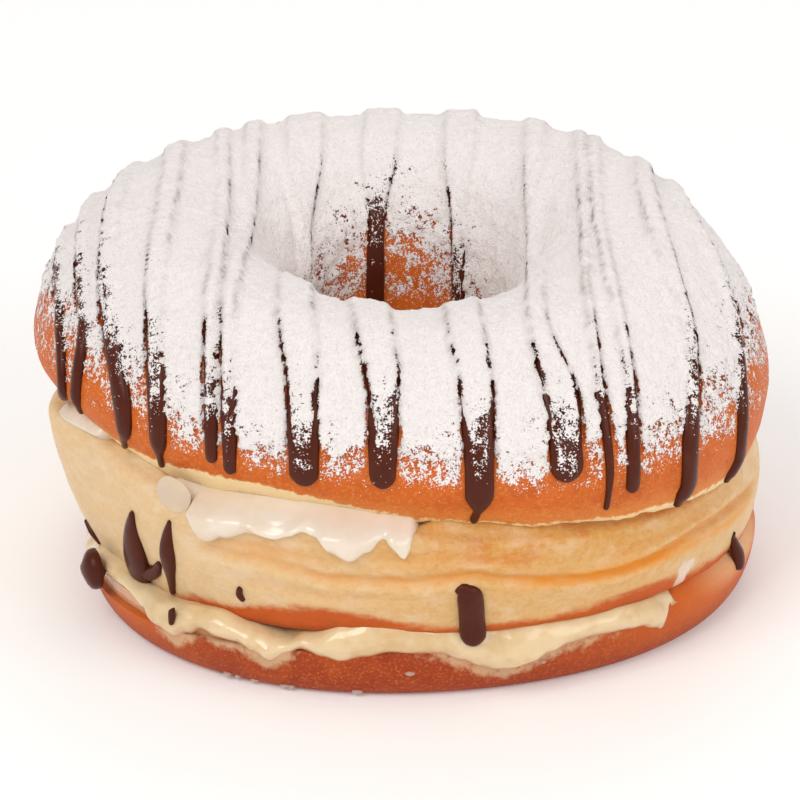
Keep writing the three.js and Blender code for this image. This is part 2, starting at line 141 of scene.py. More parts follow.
# Warm band below the main crease at the right, in the creases' tone with painted shade and glow:
# strength, share of the way up, spread and bumps; and the painted glow and shade of the creases themselves
RIGHT_GLOW = 1.15
RIGHT_GLOW_SHARE = 0.42
RIGHT_GLOW_SPREAD = 0.1
RIGHT_GLOW_BUMPS = ((308, 16, 1), (334, 12, 0.6))
CREASE_GLOW = 0.4

# Angles over which the waist turns warm at the front, cools at the right and is a little warm at the back
WARM_FRONT = (232, 285)
WARM_RIGHT = (305, 350)
WARM_RIGHT_LOSS = 0.7
WARM_BACK = 0.3
WARM_BACK_ENDS = (130, 180)

# Foot and crown of the waist: the turn of the rounded foot, degrees, how the crown's rows crowd to its rim,
# how it rises to the top layer where no cream hangs, mm, and the shares that the finish reads there
FOOT_TURN = 80
FOOT_SHARES = (-0.25, -0.02)
CROWN_START = 0.08
CROWN_CROWDING = 1.7
CROWN_CLOSES = (-1.1, 0.1)
CROWN_OVERLAP = 0.35
CROWN_LIFT_RUN = 2.4
CROWN_LIFT_RADII = (30, 42)
CROWN_SHARE = 1.1
HOLE_SHARE = -0.3

# Chocolate stripes: points along each from front to back as (y, x, width), the station above the cut edge
# where it stops, the length and width of the thin tail that it ends in, and how far its end turns aside
Stripe = namedtuple("Stripe", "path stop tail tail_width bend", defaults=(0, 0, 0))
STRIPES = (
    Stripe(((-24, -48.3, 1.9), (-14, -49.2, 2), (0, -49.8, 2), (25, -48.6, 2)), 0.08, 3, 0.9),
    Stripe((
        (-27, -46.6, 2.2), (-25, -45.6, 2.3), (-15, -45.7, 2.3), (10, -46, 2.3), (28, -44, 2.3),
    ), 0.3, 2.5, 1.1),
    Stripe((
        (-36, -38.4, 3), (-32, -39.6, 3.2), (-24, -41.1, 3.2), (-8, -41.7, 3.3), (34, -39, 3.4),
    ), 0.08, 4.5, 1.1, 0.5),
    Stripe((
        (-40, -33.8, 2.8), (-34, -34, 3.3), (-24, -34.4, 3.2), (0, -34.2, 3.2), (36, -33.6, 3.6),
    ), 0.2, 4, 1.1, 0.3),
    Stripe(((-44, -26.2, 1.9), (-34, -26.2, 2.3), (0, -26.6, 2.4), (38, -27.4, 2.6)), 0.8),
    Stripe(((-45, -23.6, 2.2), (-34, -23.8, 2.4), (0, -23, 2.6), (38, -22.4, 3)), 0.62),
    Stripe(((-49, -13.3, 4.2), (-44, -13.3, 4.7), (-36, -14.4, 5.2), (0, -15, 5.6), (40, -14.6, 6)), 0.65),
    Stripe(((-50, -2.4, 3.8), (-46, -2.2, 4.6), (-38, -3.6, 5.6), (-28, -4.5, 6), (40, -2.6, 5.8)), 0.85),
    Stripe((
        (-51, 11, 4), (-46, 10.6, 4.8), (-38, 9.2, 5.4), (-25, 8.8, 5.4), (40, 9.6, 5.4),
    ), 0.05, 4, 1.2, -0.6),
    Stripe(((-48, 23.1, 5), (-43, 22.1, 5.4), (-37, 19.8, 3.7), (-20, 19.8, 3.2), (38, 21, 3.6)), 1),
    Stripe((
        (-47, 29.6, 1.1), (-42, 27.9, 1.7), (-37, 27.1, 1.6), (0, 27.5, 1.8), (36, 27.2, 2),
    ), 0.3, 5, 0.9),
    Stripe(((-45, 32.6, 2.1), (-40, 32, 2.1), (-32, 30.7, 2.1), (-12, 29.6, 2), (36, 29.6, 2.2)), 0.6),
    Stripe((
        (-40, 40.6, 2.6), (-34, 40.9, 2.9), (-28, 40.5, 3), (-18, 38.6, 3), (-6, 37.1, 3), (34, 36, 3),
    ), 0, 2, 1.6, -1.5),
    Stripe((
        (-30, 48.8, 2.4), (-22, 48.6, 2.4), (-15, 47.5, 2.4), (2, 42.4, 2.4), (30, 39.8, 2.4),
    ), 0, 1.5, 1.6, -1.7),
)

# How stripes are made: the stations where they stop at the back and in the hole and where the hole starts,
# the stations over which an end turns aside, how deep they are sunk, mm, the width at which they have their
# full height, their wobble, the shares of a tail's length over which it widens, and how they thin in the hole
STRIPE_BACK_STOP = 0.55
STRIPE_HOLE_STOP = 3.8
HOLE_RIM_STATION = 3.0
STRIPE_BEND_REACH = 0.5
STRIPE_SINK = 0.6
STRIPE_FULL_WIDTH = 2.6
STRIPE_LEAST_HEIGHT = 0.45
STRIPE_WOBBLE = 0.16
STRIPE_WOBBLE_LENGTH = 6
STRIPE_WOBBLE_SEED = 7.3
TAIL_BODY = (0.55, 1.35)
HOLE_STRIPE_SHARE = 0.45
HOLE_STRIPE_STATIONS = (2.3, 2.75)

# A stripe as the sugar feels it: stations per mm of tail, how it sets in over stations, how steep a side
# may get, its rounded section, and the shoulders over which the sugar drifts, mm
TAIL_STATIONS = 0.06
STRIPE_SET_IN = (-0.05, 0.08)
STRIPE_LEAST_FLAT = 0.03
STRIPE_SHOULDER = 2.2
STRIPE_ROUNDNESS = 0.6
SUGAR_SHOULDERS = (-0.7, 0.8)

# Bare sides of the stripes: the distances from the middle line, mm, over which the front sets in, how far
# inside the edge they lie, their width at the back and the front, mm, what makes them barer, and the cover
# that they lose
BARE_FRONT_FROM = 18
BARE_FRONT_TO = 46
BARE_INSET = 0.25
BARE_WIDTH_BACK = 0.24
BARE_WIDTH_FRONT = 0.46
BARE_BASE = 0.1
BARE_FRONT = 0.45
BARE_STEEP = 0.4
BARE_LOSS = 1.7

# Grey lines beside the stripes, thin sugar and painted shade: wider than the bare sides and fainter at the
# back
SEAM_NARROWING = 0.75
SEAM_BASE = 0.55
SEAM_DOWNHILL = 0.9
SEAM_BACK_SHARE = 0.4
SEAM_FADE_FROM = -5
SEAM_FADE_TO = 35

# Where sugar lies, in stations of the top's section: its outer edge, how much further in it ends on the
# stripes, and its edge on the hole's wall, which is higher up on the wall that faces the front
SUGAR_EDGE = Level(1.11, (), (
    (350, 22, 0.14), (203, 22, 0.16), (243, 10, -0.1), (258, 8, -0.05), (280, 6, -0.03), (300, 16, -0.04),
))
SUGAR_EDGE_SPREAD = 0.31
STRIPE_SHEDDING = 0.21
WALL_EDGE = 3.35
WALL_EDGE_SPREAD = 0.4
BACK_WALL_ANGLE = 95
BACK_WALL_HALF_WIDTH = 50
BACK_WALL_EDGE = 2.86
BACK_WALL_EDGE_SHEDDING = 0.24
BACK_WALL_SPREAD = 0.5
BACK_WALL_SPREAD_SHEDDING = 0.25
LEAST_COVER = -1.5
MOST_COVER = 1.7

# Rows of the sugar as (first station, last station, spacing in mm), its columns round the front and the
# back as (first angle, last angle, count), and its hidden inside as (share of the way out, rise in mm)
SUGAR_ROWS = ((0.7, 1.6, 0.36), (1.6, 2, 0.46), (2, 3, 0.52), (3, 3.6, 0.7))
SUGAR_FRONT_COLUMNS = (178, 362, 480)
SUGAR_BACK_COLUMNS = (2, 178, 210)
SUGAR_CORE = ((0.55, 2.0), (0.3, 4.0), (0.75, 2.0))

# Thickness of the sugar: the sizes of its clumps and drifts, mm, its share where it peters out, the heights
# of clumps and drifts, mm, how it fills the stripes' flanks, and its least lift off bare and other places, mm
SUGAR_CLUMP_SIZE = 1.3
SUGAR_DRIFT_SIZE = 4
SUGAR_DRIFT_SHIFT = 11.3
SUGAR_LEAST_SHARE = 0.3
SUGAR_CLUMPS = (0.26, 0.38)
SUGAR_DRIFTS = (0.15, 0.55)
SUGAR_FILL = 0.85
SUGAR_BARE_LIFT = 0.07
SUGAR_LEAST_LIFT = 0.2

# How noise moves the bare sides and the sugar's edge, the covers between which it comes to lie, where its
# edge is most ragged and its drifts highest, as (middle, spread), and the cover of its hidden inside
BARE_DRIFT = 0.3
BARE_CLUMP = 0.2
SUGAR_LIES_CLUMP = 0.2
SUGAR_LIES = (-0.1, 0.5)
SUGAR_RAGGED = (0.3, 0.5)
SUGAR_RIM = (2.7, 0.4)
HIDDEN_COVER = -2

# Loose clumps of sugar: the seed, how many places are tried for each, the stations where they lie, their
# chance, which is highest at one cover, and how their sizes, corners and heights vary
GRAIN_SEED = 11
GRAIN_TRIES = 12
GRAIN_STATIONS = (0.55, 3.5)
GRAIN_CHANCE = 0.7
GRAIN_COVER = -0.1
GRAIN_COVER_SPREAD = 0.6
GRAIN_SIZE_SPREAD = 0.3
GRAIN_JITTER = (0.7, 1.3)
GRAIN_LIFT = 0.35

# Drips of chocolate: stops along each as (angle, height, width), and the thickness
Drip = namedtuple("Drip", "stops thickness")
MIDDLE_DRIPS = (
    Drip((
        (221.9, 22.9, 0.5), (220, 19.5, 2.6), (219.4, 16.5, 4.6), (218.4, 13.6, 5.4), (217.3, 11.2, 4.8),
        (216.2, 8.6, 3.2),
    ), 1.5),
    Drip(((218.4, 12.4, 3), (220.8, 12.5, 2.5), (223.2, 13.7, 1.9), (225.2, 15.8, 0.8)), 1.2),
    Drip(((230.7, 24.1, 0.5), (229, 20.7, 2), (228.2, 17.9, 3), (226.9, 14.4, 1.7), (224.7, 10.3, 0.9)), 1.1),
    Drip((
        (278.6, 19.6, 3), (278.9, 17.5, 3.8), (278.3, 14, 3.7), (277.7, 10.8, 3.9), (277.6, 9.5, 3.7),
    ), 1.4),
    Drip(((276.7, 19, 1), (277.8, 18.9, 2.2), (279.2, 18.4, 3)), 1.2),
    Drip(((241.3, 16.2, 0.8), (240.6, 14.9, 1.1), (240.9, 13.7, 0.7)), 0.6),
    Drip(((334.5, 13.4, 0.6), (335.5, 10.8, 1.8), (336.3, 8.7, 2.8), (336.2, 6.4, 2.2)), 1),
    Drip(((200.4, 13.4, 0.5), (201.8, 12, 1.1), (203.2, 10.4, 0.5)), 0.6),
)
CREAM_DRIPS = (
    Drip(((205, 11.6, 3), (206.6, 10.2, 6), (207.2, 8.4, 5.6), (207, 6.2, 3.4)), 2.1),
    Drip(((204.6, 9.8, 2), (207, 9, 4), (209.6, 9.8, 2.4)), 1.9),
    Drip(((227.6, 10.6, 0.8), (227.6, 9.5, 1), (227.5, 8, 0.7)), 0.5),
)

# How drips are made: how deep they are sunk, mm, their steps and rounds of smoothing, the least share of
# their height, the cover that keeps sugar off them, and how far out they lie on the lower cream, mm
DRIP_SINK = 0.7
DRIP_STEPS = 30
DRIP_SMOOTHING = 5
DRIP_LEAST_HEIGHT = 0.4
DRIP_COVER = -1.0
CREAM_DRIP_OUT = 1.3

# Round dabs of white cream on the middle layer: angle, height, half width, half height and thickness
CREAM_DABS = ((232, 28.4, 3, 2.7, 0.3),)

# Thin milky patches on the middle layer: angle, height, their half sizes, and the strength
MILKY_PATCHES = (
    (320, 13.2, 2.3, 1.4, 1.3), (318.4, 10.8, 1.4, 2, 1.3), (199, 22, 2.2, 0.7, 0.6), (212, 25, 8, 3, 0.35),
)

# Lower edges of the creams where they hang, as (angle, height), joined by smooth swings
UPPER_CREAM_EDGE = (
    (200, 31.2), (206, 30.9), (211, 31), (217, 31.7), (223, 30.6), (229, 28.3), (235, 27.8), (235.8, 24.4),
    (237.6, 22.7), (241.3, 24.1), (245.9, 25.5), (249.9, 25.4), (252.7, 26.2), (254.7, 26.9), (256.7, 26.3),
    (258.7, 24.4), (261.6, 23.3), (264.7, 24.7), (267.6, 26.6), (268.7, 25.1), (270, 23.7), (272.4, 25.8),
    (276, 28.6), (282, 27.4), (300, 25.6),
)
LOWER_CREAM_EDGE = (
    (190, 6), (199, 5.4), (204, 7.6), (210.7, 8.6), (216, 8.6), (219.5, 7.2), (223.3, 5.6), (226.5, 5),
    (229.5, 6.6), (231.9, 7.9), (234.7, 7.4), (238.3, 7.4), (241.5, 6.3), (244.2, 5.1), (247, 6.8),
    (249.4, 8), (253, 7), (256, 6.4), (260, 7.3), (264.3, 8.1), (268.5, 7.8), (272.7, 7.7), (276.5, 6.4),
    (279.6, 5.1), (282.5, 4.3), (285.1, 4.1), (288, 4.7), (291.3, 5.9), (295, 6.8), (299.6, 7.2),
    (305, 6.9), (309.7, 6.5), (313, 5.3), (315.2, 4.2), (317, 5.8), (319.5, 7.6),
)

# Upper edge of the lower cream against the middle layer, as (angle, height)
LOWER_CREAM_BROW = (
    (180, 8.4), (196, 9), (204, 11), (212, 11.2), (218, 10.4), (226, 10.2), (230, 10.8), (235, 11.2),
    (240, 10), (246, 8.7), (250, 10), (257, 12.3), (263, 13.3), (269, 12.9), (276, 12.2), (286, 11.4),
    (304, 11.2), (312, 10.8), (320, 9.8), (360, 9),
)

# How far the creams come out past the layer below, mm, less than 0 where they stay inside
UPPER_REACH = Level(-2.4, (), ((207, 11, 3.4), (240, 13, 4.6), (262, 13, 4.8)))
LOWER_REACH = Level(-2.4, (), (
    (180, 13, 1.5), (208, 20, 3.4), (245, 26, 3.8), (268, 14, 0.9), (295, 21, 4.7), (312.5, 5.5, 1),
    (150, 26, 2.8), (105, 26, 3), (64, 26, 2.3),
))

# Faces of the creams, mm: the reaches between which a cream starts to hang, the height over which it swells
# out, how its tip is sunk and raised, the size of its lumps, its plumpness for low and high faces, what it
# overlaps, the wall behind its face and the radii of its inside
HANGS_FROM = -0.5
HANGS_TO = 0.5
CREAM_SWELL_HEIGHT = 2.4
CREAM_TIP_SINK = 0.25
CREAM_TIP_RISE = 0.2
CREAM_LUMP_SIZE = 4.2
CREAM_PLUMPNESS = (0.4, 1.4)
CREAM_PLUMP_HEIGHTS = (2, 6.5)
CREAM_OVERLAP = 0.3
CREAM_WALL = 0.9
CREAM_INSIDE_RADII = (42.0, 32.0)

# Upper cream, mm: a scoop out of its face as angle, height, radii and raised rim, the length of a degree
# there, its recess where it does not hang, how it draws in to the top layer and how far it runs up into it
SCOOP_ANGLE = 250.3
SCOOP_HEIGHT = 30.6
SCOOP_RADII = (3, 4.3)
SCOOP_RIM_RADIUS = 4.7
SCOOP_RIM_WIDTH = 0.6
SCOOP_RIM_HEIGHT = 0.45
SCOOP_DEGREE = 0.88
UPPER_RECESS = 6
UPPER_RECESS_REACHES = (-0.6, 0.4)
UPPER_DRAW = 1.5
UPPER_TOP_OVERLAP = 0.25

# Lower cream: how much faster it draws back than it comes out, the share of its face above which it curls
# in, how far, mm, and the part of its face that is thin
LOWER_RECESS_RATE = 2.5
CURL_START = 0.35
CURL_DEPTH = 2.8
THIN_SHARE = 0.4
THIN_HEIGHTS = (0.1, 1.5)

# Smears of cream under the lower cream and paler stretches of the bottom crust, as bumps
WET_PATCHES = ((226, 6, 1), (237, 7, 0.9), (246, 5, 0.9), (281, 16, 1), (300, 8, 0.6))
SMEAR_STRENGTH = 0.8
SMEAR_HEIGHT = 2.2
PALE_SIDES = ((335, 34, 0.8), (213, 14, 0.9))
PALE_RIM = ((350, 26, 0.6),)
PALE_SIDE_HEIGHTS = (0, 6)
PALE_RIM_HEIGHTS = (3, 10)

# Bottom layer, mm: the reaches of the cream between which its rim closes on the waist, what it overlaps
# there, how its rim draws in, and the radii of its inner rows
BOTTOM_CLOSES = (-1.2, 0)
BOTTOM_OVERLAP = 0.9
BOTTOM_TUCK = 0.9
BOTTOM_TUCK_START = 0.72
BOTTOM_TOP_RADII = (46.0, 36.0, 26.0)
BOTTOM_LIFT_RADII = (30, 45)
BOTTOM_FLOOR_RADII = (28.0, 38.0)

# Wet crumbs on the bottom crust: angle, height and radius, then their shape, the spread of sizes and the seed
CRUMBS = (
    (235.6, 1, 0.5), (237.4, 0.9, 0.45), (240.4, 0.8, 0.55), (245.8, 0.8, 0.5), (246.9, 0.7, 0.45),
    (258.4, 0.9, 0.55), (267.6, 4.7, 0.5), (290.9, 4.8, 0.5),
)
CRUMB_SHAPE = (1.4, 1.2, 0.75)
CRUMB_SIZES = (0.7, 1.2)
CRUMB_SEED = 5

# Stage: the height that the camera looks at, mm, its elevation, distance in metres, lens and sensor, and the
# lights as name, place in metres, width and power
LOOK_AT_HEIGHT = 24
CAMERA_ELEVATION = 25
CAMERA_DISTANCE = 0.6
CAMERA_LENS = 179.55
CAMERA_SENSOR = 36
LIGHTS = (
    ("key", (-0.45, -0.55, 0.75), 0.5, 3.4),
    ("fill", (0.7, -0.5, 0.5), 0.6, 2.2),
    ("back", (0.1, 0.7, 0.8), 0.6, 1.6),
    ("left_glint", (-0.3, -0.65, 0.6), 0.07, 0.16),
    ("right_glint", (0.35, -0.65, 0.55), 0.07, 0.16),
)
WORLD_COLOUR = (1, 0.99, 0.98, 1)
WORLD_STRENGTH = 0.6
FLOOR_SIZE = 30
FLOOR_GLOW = 0.12

# Spacing of mesh points, mm, the ends and the section of ribbons, and counts of rows and samples
CRUST_SPACING = 0.75
WALL_SPACING = 0.6
UPPER_CREAM_SPACING = 0.4
LOWER_CREAM_SPACING = 0.5
RIBBON_SPACING = 0.9
RIBBON_END = np.array([0, 0.06, 0.2, 0.45, 0.8, 1.25, 1.8, 2.5])
RIBBON_SEGMENTS = 16
RIBBON_LEAST_STEPS = 6
RIBBON_FULLNESS = 0.8
ROUND_END = 0.52
SECTION_SAMPLES = 600
STRIPE_SAMPLES = 240
HALVINGS = 40
FOOT_ROWS = 9
WALL_ROWS = 60
CROWN_ROWS = 26
BOTTOM_ROWS = 26
CREAM_ROWS = 34
CREAM_BACK_ROWS = 5


def linear(red, green, blue):
    """Linear colour of an 8-bit screen colour."""
    return tuple(((c / 255 + 0.055) / 1.055) ** 2.4 for c in (red, green, blue))


def length(name, description, millimetres):
    """Length property with its default given in millimetres."""
    return FloatProperty(
        name=name, description=description, default=millimetres * MM, min=0, precision=5, unit="LENGTH"
    )


def colour(name, description, red, green, blue):
    """Colour property with its default given as an 8-bit screen colour."""
    return FloatVectorProperty(
        name=name, description=description, default=linear(red, green, blue),
        size=3, min=0, max=1, subtype="COLOR",
    )


class DoughnutSizes(bpy.types.PropertyGroup):
    """Sizes of the doughnut's pieces"""

    hole_radius: length("Hole radius", "Radius of the hole at the top layer's belt", 17.2)
    crest_radius: length("Crest radius", "Radius of the circle of the dome's highest points", 36.9)
    belt_height: length("Belt height", "Height of the top layer's widest line", 34.9)
    crease_depth: length("Crease depth", "Depth of the crease round the middle layer", 0.75)
    stripe_height: length("Stripe height", "Height of the chocolate stripes on the crust", 1.1)
    sugar_thickness: length("Sugar thickness", "Thickness of the sugar on the crown", 0.6)
    grain_radius: length("Grain radius", "Mean radius of a loose clump of sugar", 0.065)
    cream_thickness: length("Cream thickness", "Thickness of the creams where they hang over a side", 1.5)
    cream_inner_radius: length("Cream inner radius", "Radius at which the fillings stop", 22)
    grain_count: IntProperty(
        name="Grain count", description="Number of loose clumps of sugar",
        default=6000, min=0, subtype="UNSIGNED",
    )


class DoughnutColours(bpy.types.PropertyGroup):
    """Colours of the doughnut's finishes"""

    crust: colour("Crust", "Fried crust of the top layer", 210, 102, 32)
    crust_deep: colour("Deep crust", "Darker fried patches of the crust", 190, 84, 26)
    crust_light: colour("Light crust", "Crust that pales towards the cut", 225, 142, 68)
    crust_rim: colour("Cut rim", "Pale dough at the cut edges", 247, 218, 166)
    sugar: colour("Sugar", "Fine sugar", 250, 243, 240)
    # Painted shade in the hollows between the grains of sugar
    sugar_shade: colour("Sugar shade", "Hollows between the grains of sugar", 236, 225, 220)
    # Colour of the seams beside the stripes: thin sugar over chocolate, with painted shade
    sugar_seam: colour("Sugar seam", "Sugar that lies thin beside the stripes", 150, 128, 118)
    chocolate: colour("Chocolate", "Dark chocolate", 78, 30, 15)
    chocolate_thin: colour("Thin chocolate", "Chocolate where it runs out thin", 110, 50, 30)
    white_cream: colour("White cream", "Whipped cream under the top layer", 234, 218, 199)
    white_cream_warm: colour("White cream, warm", "Warmer streaks of the whipped cream", 226, 205, 180)
    custard_warm: colour("Custard cream, warm", "Warmer streaks of the custard", 211, 172, 116)
    custard: colour("Custard cream", "Yellow cream over the bottom layer", 228, 202, 158)
    dough: colour("Dough", "Pale waist of the doughnut", 226, 188, 132)
    dough_pale: colour("Pale dough", "Floury bloom on the waist", 233, 209, 176)
    dough_yellow: colour("Yellow dough", "Warmer streaks of the waist", 211, 151, 70)
    # The dough's warmer tone in the creases, together with painted shade and glow there
    dough_crease_shade_and_glow: colour("Crease", "Dough in the crease", 229, 148, 48)
    dough_browned: colour("Browned dough", "Fried edges of the waist", 198, 88, 18)
    base_crust: colour("Base crust", "Dark crust of the bottom layer", 160, 60, 20)
    base_dark: colour("Base crust dark", "Darkest patches of the bottom crust", 140, 50, 22)
    base_light: colour("Base crust light", "Lighter flecks of the bottom crust", 202, 112, 60)
    crumb: colour("Crumb", "Wet crumbs of glaze", 214, 188, 174)
    floor: colour("Floor", "Pale studio floor", 246, 245, 244)


def size(name):
    """A length from the sizes, in millimetres."""
    return getattr(bpy.context.scene.doughnut_sizes, name) / MM


def paint(name):
    """A colour from the colours, with its alpha."""
    return (*getattr(bpy.context.scene.doughnut_colours, name), 1)


# Shape functions


def lerp(low, high, share):
    return low + (high - low) * share


def smoothstep(value, low, high):
    share = np.clip((value - low) / (high - low), 0, 1)
    return share * share * (3 - 2 * share)


def bell(distance, spread):
    """1 at no distance, falling off smoothly to both sides."""
    return np.exp(-((distance / spread) ** 2))


def waves(terms, angle):
    """Sum of waves at an angle."""
    each = (swell * np.cos(np.radians(count * (angle - peak))) for count, swell, peak in terms)
    return sum(each, 0 * angle)


def turn_between(angle, other):
    """Signed turn from one angle to another, in degrees."""
    return (angle - other + 540) % 360 - 180


def bumps(terms, angle):
    """Sum of single bumps at an angle."""
    each = (swell * bell(turn_between(angle, at), half) for at, half, swell in terms)
    return sum(each, 0 * angle)


def level(surface, angle, radius=RIM_RADIUS):
    """Value of a level at an angle, whose waves and bumps fade towards the ring's axis."""
    lift = waves(surface.waves, angle) + bumps(surface.bumps, angle)
    return surface.height + lift * radius / RIM_RADIUS


def plan_radius(plan, angle):
    return plan.radius + waves(plan.waves, angle) + bumps(plan.bumps, angle)


def outward_at(angle):
    """Level direction away from the ring's axis."""
    turn = np.radians(angle)
    return np.stack([np.cos(turn), np.sin(turn), 0 * turn], -1)


def unit(vectors):
    """Vectors brought to a length of 1."""
    return vectors / np.maximum(np.linalg.norm(vectors, axis=-1, keepdims=True), 1e-12)


def travelled(points):
    """Distance along a path to each of its points."""
    return np.append(0, np.cumsum(np.linalg.norm(np.diff(points, axis=0), axis=1)))


def ring_point(plan_x, plan_y, angle, radius, height):
    """Point at a radius from a plan's centre, in the frame."""
    turn = np.radians(angle)
    x = RING_CENTRE[0] + plan_x + radius * np.cos(turn)
    y = RING_CENTRE[1] + plan_y + radius * np.sin(turn)
    return np.stack(np.broadcast_arrays(x, y, height), -1)


def top_point(angle, s):
    """Point of the top layer at a station of its section.

    The station s is 0 to 1 up the edge, 1 to 2 the outer dome, 2 to 3 the inner one and 3 to 4 the hole.
    """
    outer = plan_radius(TOP_PLAN, angle)
    inner = size("hole_radius")
    crest = size("crest_radius")
    cosine = np.cos(np.radians(angle))

    def belt(radius):
        return size("belt_height") + BELT_TILT * radius * cosine

    down = 1 - np.clip(s, 0, 1)
    edge_radius = outer - TOP_TUCK * down**2
    edge_height = lerp(belt(edge_radius), level(TOP_CUT, angle, edge_radius), down)

    turn = np.radians(90 * (np.clip(s, 1, 3) - 1))
    fullness = np.where(s <= 2, DOME_OUTER_FULLNESS, DOME_INNER_FULLNESS)
    half = np.where(s <= 2, outer, inner) - crest
    dome_radius = crest + half * np.abs(np.cos(turn)) ** fullness
    dome_height = belt(dome_radius) + level(DOME_RISE, angle) * np.abs(np.sin(turn)) ** fullness

    down = np.clip(s, 3, 4) - 3
    wall_radius = lerp(inner, inner - HOLE_WAIST_INSET, down)
    wall_height = lerp(belt(inner), level(TOP_CUT, angle, wall_radius), down)

    parts = [s <= 1, s <= 3]
    radius = np.select(parts, [edge_radius, dome_radius], wall_radius)
    height = np.select(parts, [edge_height, dome_height], wall_height)
    return ring_point(TOP_PLAN.x, TOP_PLAN.y, angle, radius, height)


def normals_of(surface, angle, share, small=0.004):
    """Outward directions of a surface given by a function of angle and share."""
    around = surface(angle + small, share) - surface(angle - small, share)
    upward = surface(angle, share + small) - surface(angle, share - small)
    return unit(np.cross(around, upward))


def middle_crown(angle, radius):
    """Height of the middle layer's cut top."""
    return level(TOP_CUT, angle, radius) - level(UPPER_FILLING, angle)


def crease_at(angle, share):
    """Strength of the creases at a place on the middle layer's side, below 0 on the swells under them."""
    strength = 0 * angle * share
    for crease in CREASES:
        stops = np.array(crease.stops)
        first, last = stops[0, 0], stops[-1, 0]
        line = np.interp(angle, stops[:, 0], stops[:, 1])
        for swell, rate in CREASE_WANDER:
            line = line + swell * np.sin(angle * rate)
        begun = smoothstep(angle, first, first + CREASE_FADE)
        ended = smoothstep(angle, last - CREASE_FADE, last)
        fold = bell(share - line, CREASE_SPREAD)
        below = bell(share - line + CREASE_SWELL_DROP, CREASE_SWELL_SPREAD)
        strength = strength + crease.depth * begun * (1 - ended) * (fold - CREASE_SWELL * below)
    return strength


def middle_foot(angle):
    """Height of the middle layer's lower corner, at the top of its rounded foot."""
    return level(MIDDLE_BASE, angle) + level(MIDDLE_ROUNDING, angle)


def middle_point(angle, share):
    """Point on the side of the middle layer, share 0 at its lower corner and 1 at its upper one."""
    centre_x = lerp(MIDDLE_BASE_PLAN.x, MIDDLE_CROWN_PLAN.x, share)
    centre_y = lerp(MIDDLE_BASE_PLAN.y, MIDDLE_CROWN_PLAN.y, share)
    radius = lerp(plan_radius(MIDDLE_BASE_PLAN, angle), plan_radius(MIDDLE_CROWN_PLAN, angle), share)
    low = middle_foot(angle)
    high = middle_crown(angle, RIM_RADIUS)
    lip = MIDDLE_LIP * np.clip((share - MIDDLE_LIP_START) / (1 - MIDDLE_LIP_START), 0, 1) ** 2
    swell = MIDDLE_BELLY * np.sin(np.pi * np.clip(share, 0, 1)) - lip
    return ring_point(centre_x, centre_y, angle, radius + swell, lerp(low, high, share))


def middle_share(angle, height):
    """Share of the way up the middle layer's side at a height."""
    low = middle_foot(angle)
    return (height - low) / (middle_crown(angle, RIM_RADIUS) - low)


def bottom_cut(angle, radius):
    """Height of the bottom layer's cut top."""
    return level(MIDDLE_BASE, angle, radius) - level(LOWER_FILLING, angle)


def bottom_point(angle, height):
    """Point on the side of the bottom layer, a quarter ellipse up to its widest line."""
    below = np.clip(1 - height / BOTTOM_BELLY_HEIGHT, 0, 1)
    radius = plan_radius(BOTTOM_PLAN, angle) - BOTTOM_INSET * (1 - np.sqrt(1 - below**2))
    return ring_point(BOTTOM_PLAN.x, BOTTOM_PLAN.y, angle, radius, height)


def swing(edge, angle):
    """Height of an edge at an angle, with smooth swings between its points; closed round the ring."""
    at = np.array([a for a, _ in edge])
    heights = np.array([h for _, h in edge])
    turned = (angle - at[0]) % 360 + at[0]
    at = np.append(at, at[0] + 360)
    heights = np.append(heights, heights[0])
    place = np.clip(np.searchsorted(at, turned, side="right") - 1, 0, len(at) - 2)
    share = (turned - at[place]) / (at[place + 1] - at[place])
    return lerp(heights[place], heights[place + 1], smoothstep(share, 0, 1))


def through(stops, column, at):
    """Smooth curve through a column of stops, whose first column is the place, held level beyond its ends."""
    known = np.array(stops, float)
    places = known[:, 0]
    values = known[:, column]
    slopes = np.gradient(values, places)
    below = np.clip(np.searchsorted(places, at) - 1, 0, len(places) - 2)
    step = places[below + 1] - places[below]
    share = np.clip((at - places[below]) / step, 0, 1)
    start = values[below] * (1 + 2 * share) + slopes[below] * step * share
    end = values[below + 1] * (3 - 2 * share) - slopes[below + 1] * step * (1 - share)
    return start * (1 - share) ** 2 + end * share**2


def roughness_at(points, feature, octaves, shift=0.0):
    """Fractal noise, about -1 to 1, at points in millimetres, for features of a size."""
    flat = points.reshape(-1, 3) / feature + shift
    values = [noise.fractal(Vector(p), 1.0, 2.0, octaves) for p in flat]
    return np.array(values).reshape(points.shape[:-1])


# Mesh helpers


def deselect():
    bpy.ops.object.select_all(action="DESELECT")


def finish_piece(piece, material, slot, *nodes):
    """Gives a piece its finish, puts it on the body and hides the nodes that it stands for."""
    piece.data.materials.append(material)
    piece.data.shade_smooth()
    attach(piece, BODY)
    if nodes:
        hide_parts(*nodes)


def add_ring(name, points, **marks):
    """Closed ring: a grid wrapped round sections given as (angles, section, 3), its seams welded.

    Marks are numbers for the points, (angles, section), that the finish reads.
    """
    deselect()
    columns, rows = points.shape[:2]
    bpy.ops.mesh.primitive_grid_add(x_subdivisions=columns, y_subdivisions=rows)
    ring = bpy.context.object
    ring.name = name
    ring.data.name = name
    wrapped = np.ix_(np.arange(columns + 1) % columns, np.arange(rows + 1) % rows)
    ring.data.vertices.foreach_set("co", (points[wrapped].swapaxes(0, 1) * MM).ravel())
    for mark, values in marks.items():
        set_attribute(ring, mark, np.broadcast_to(values, (columns, rows))[wrapped].T)
    bpy.ops.object.mode_set(mode="EDIT")
    bpy.ops.mesh.select_all(action="SELECT")
    bpy.ops.mesh.remove_doubles(threshold=WELD)
    bpy.ops.object.mode_set(mode="OBJECT")
    return ring


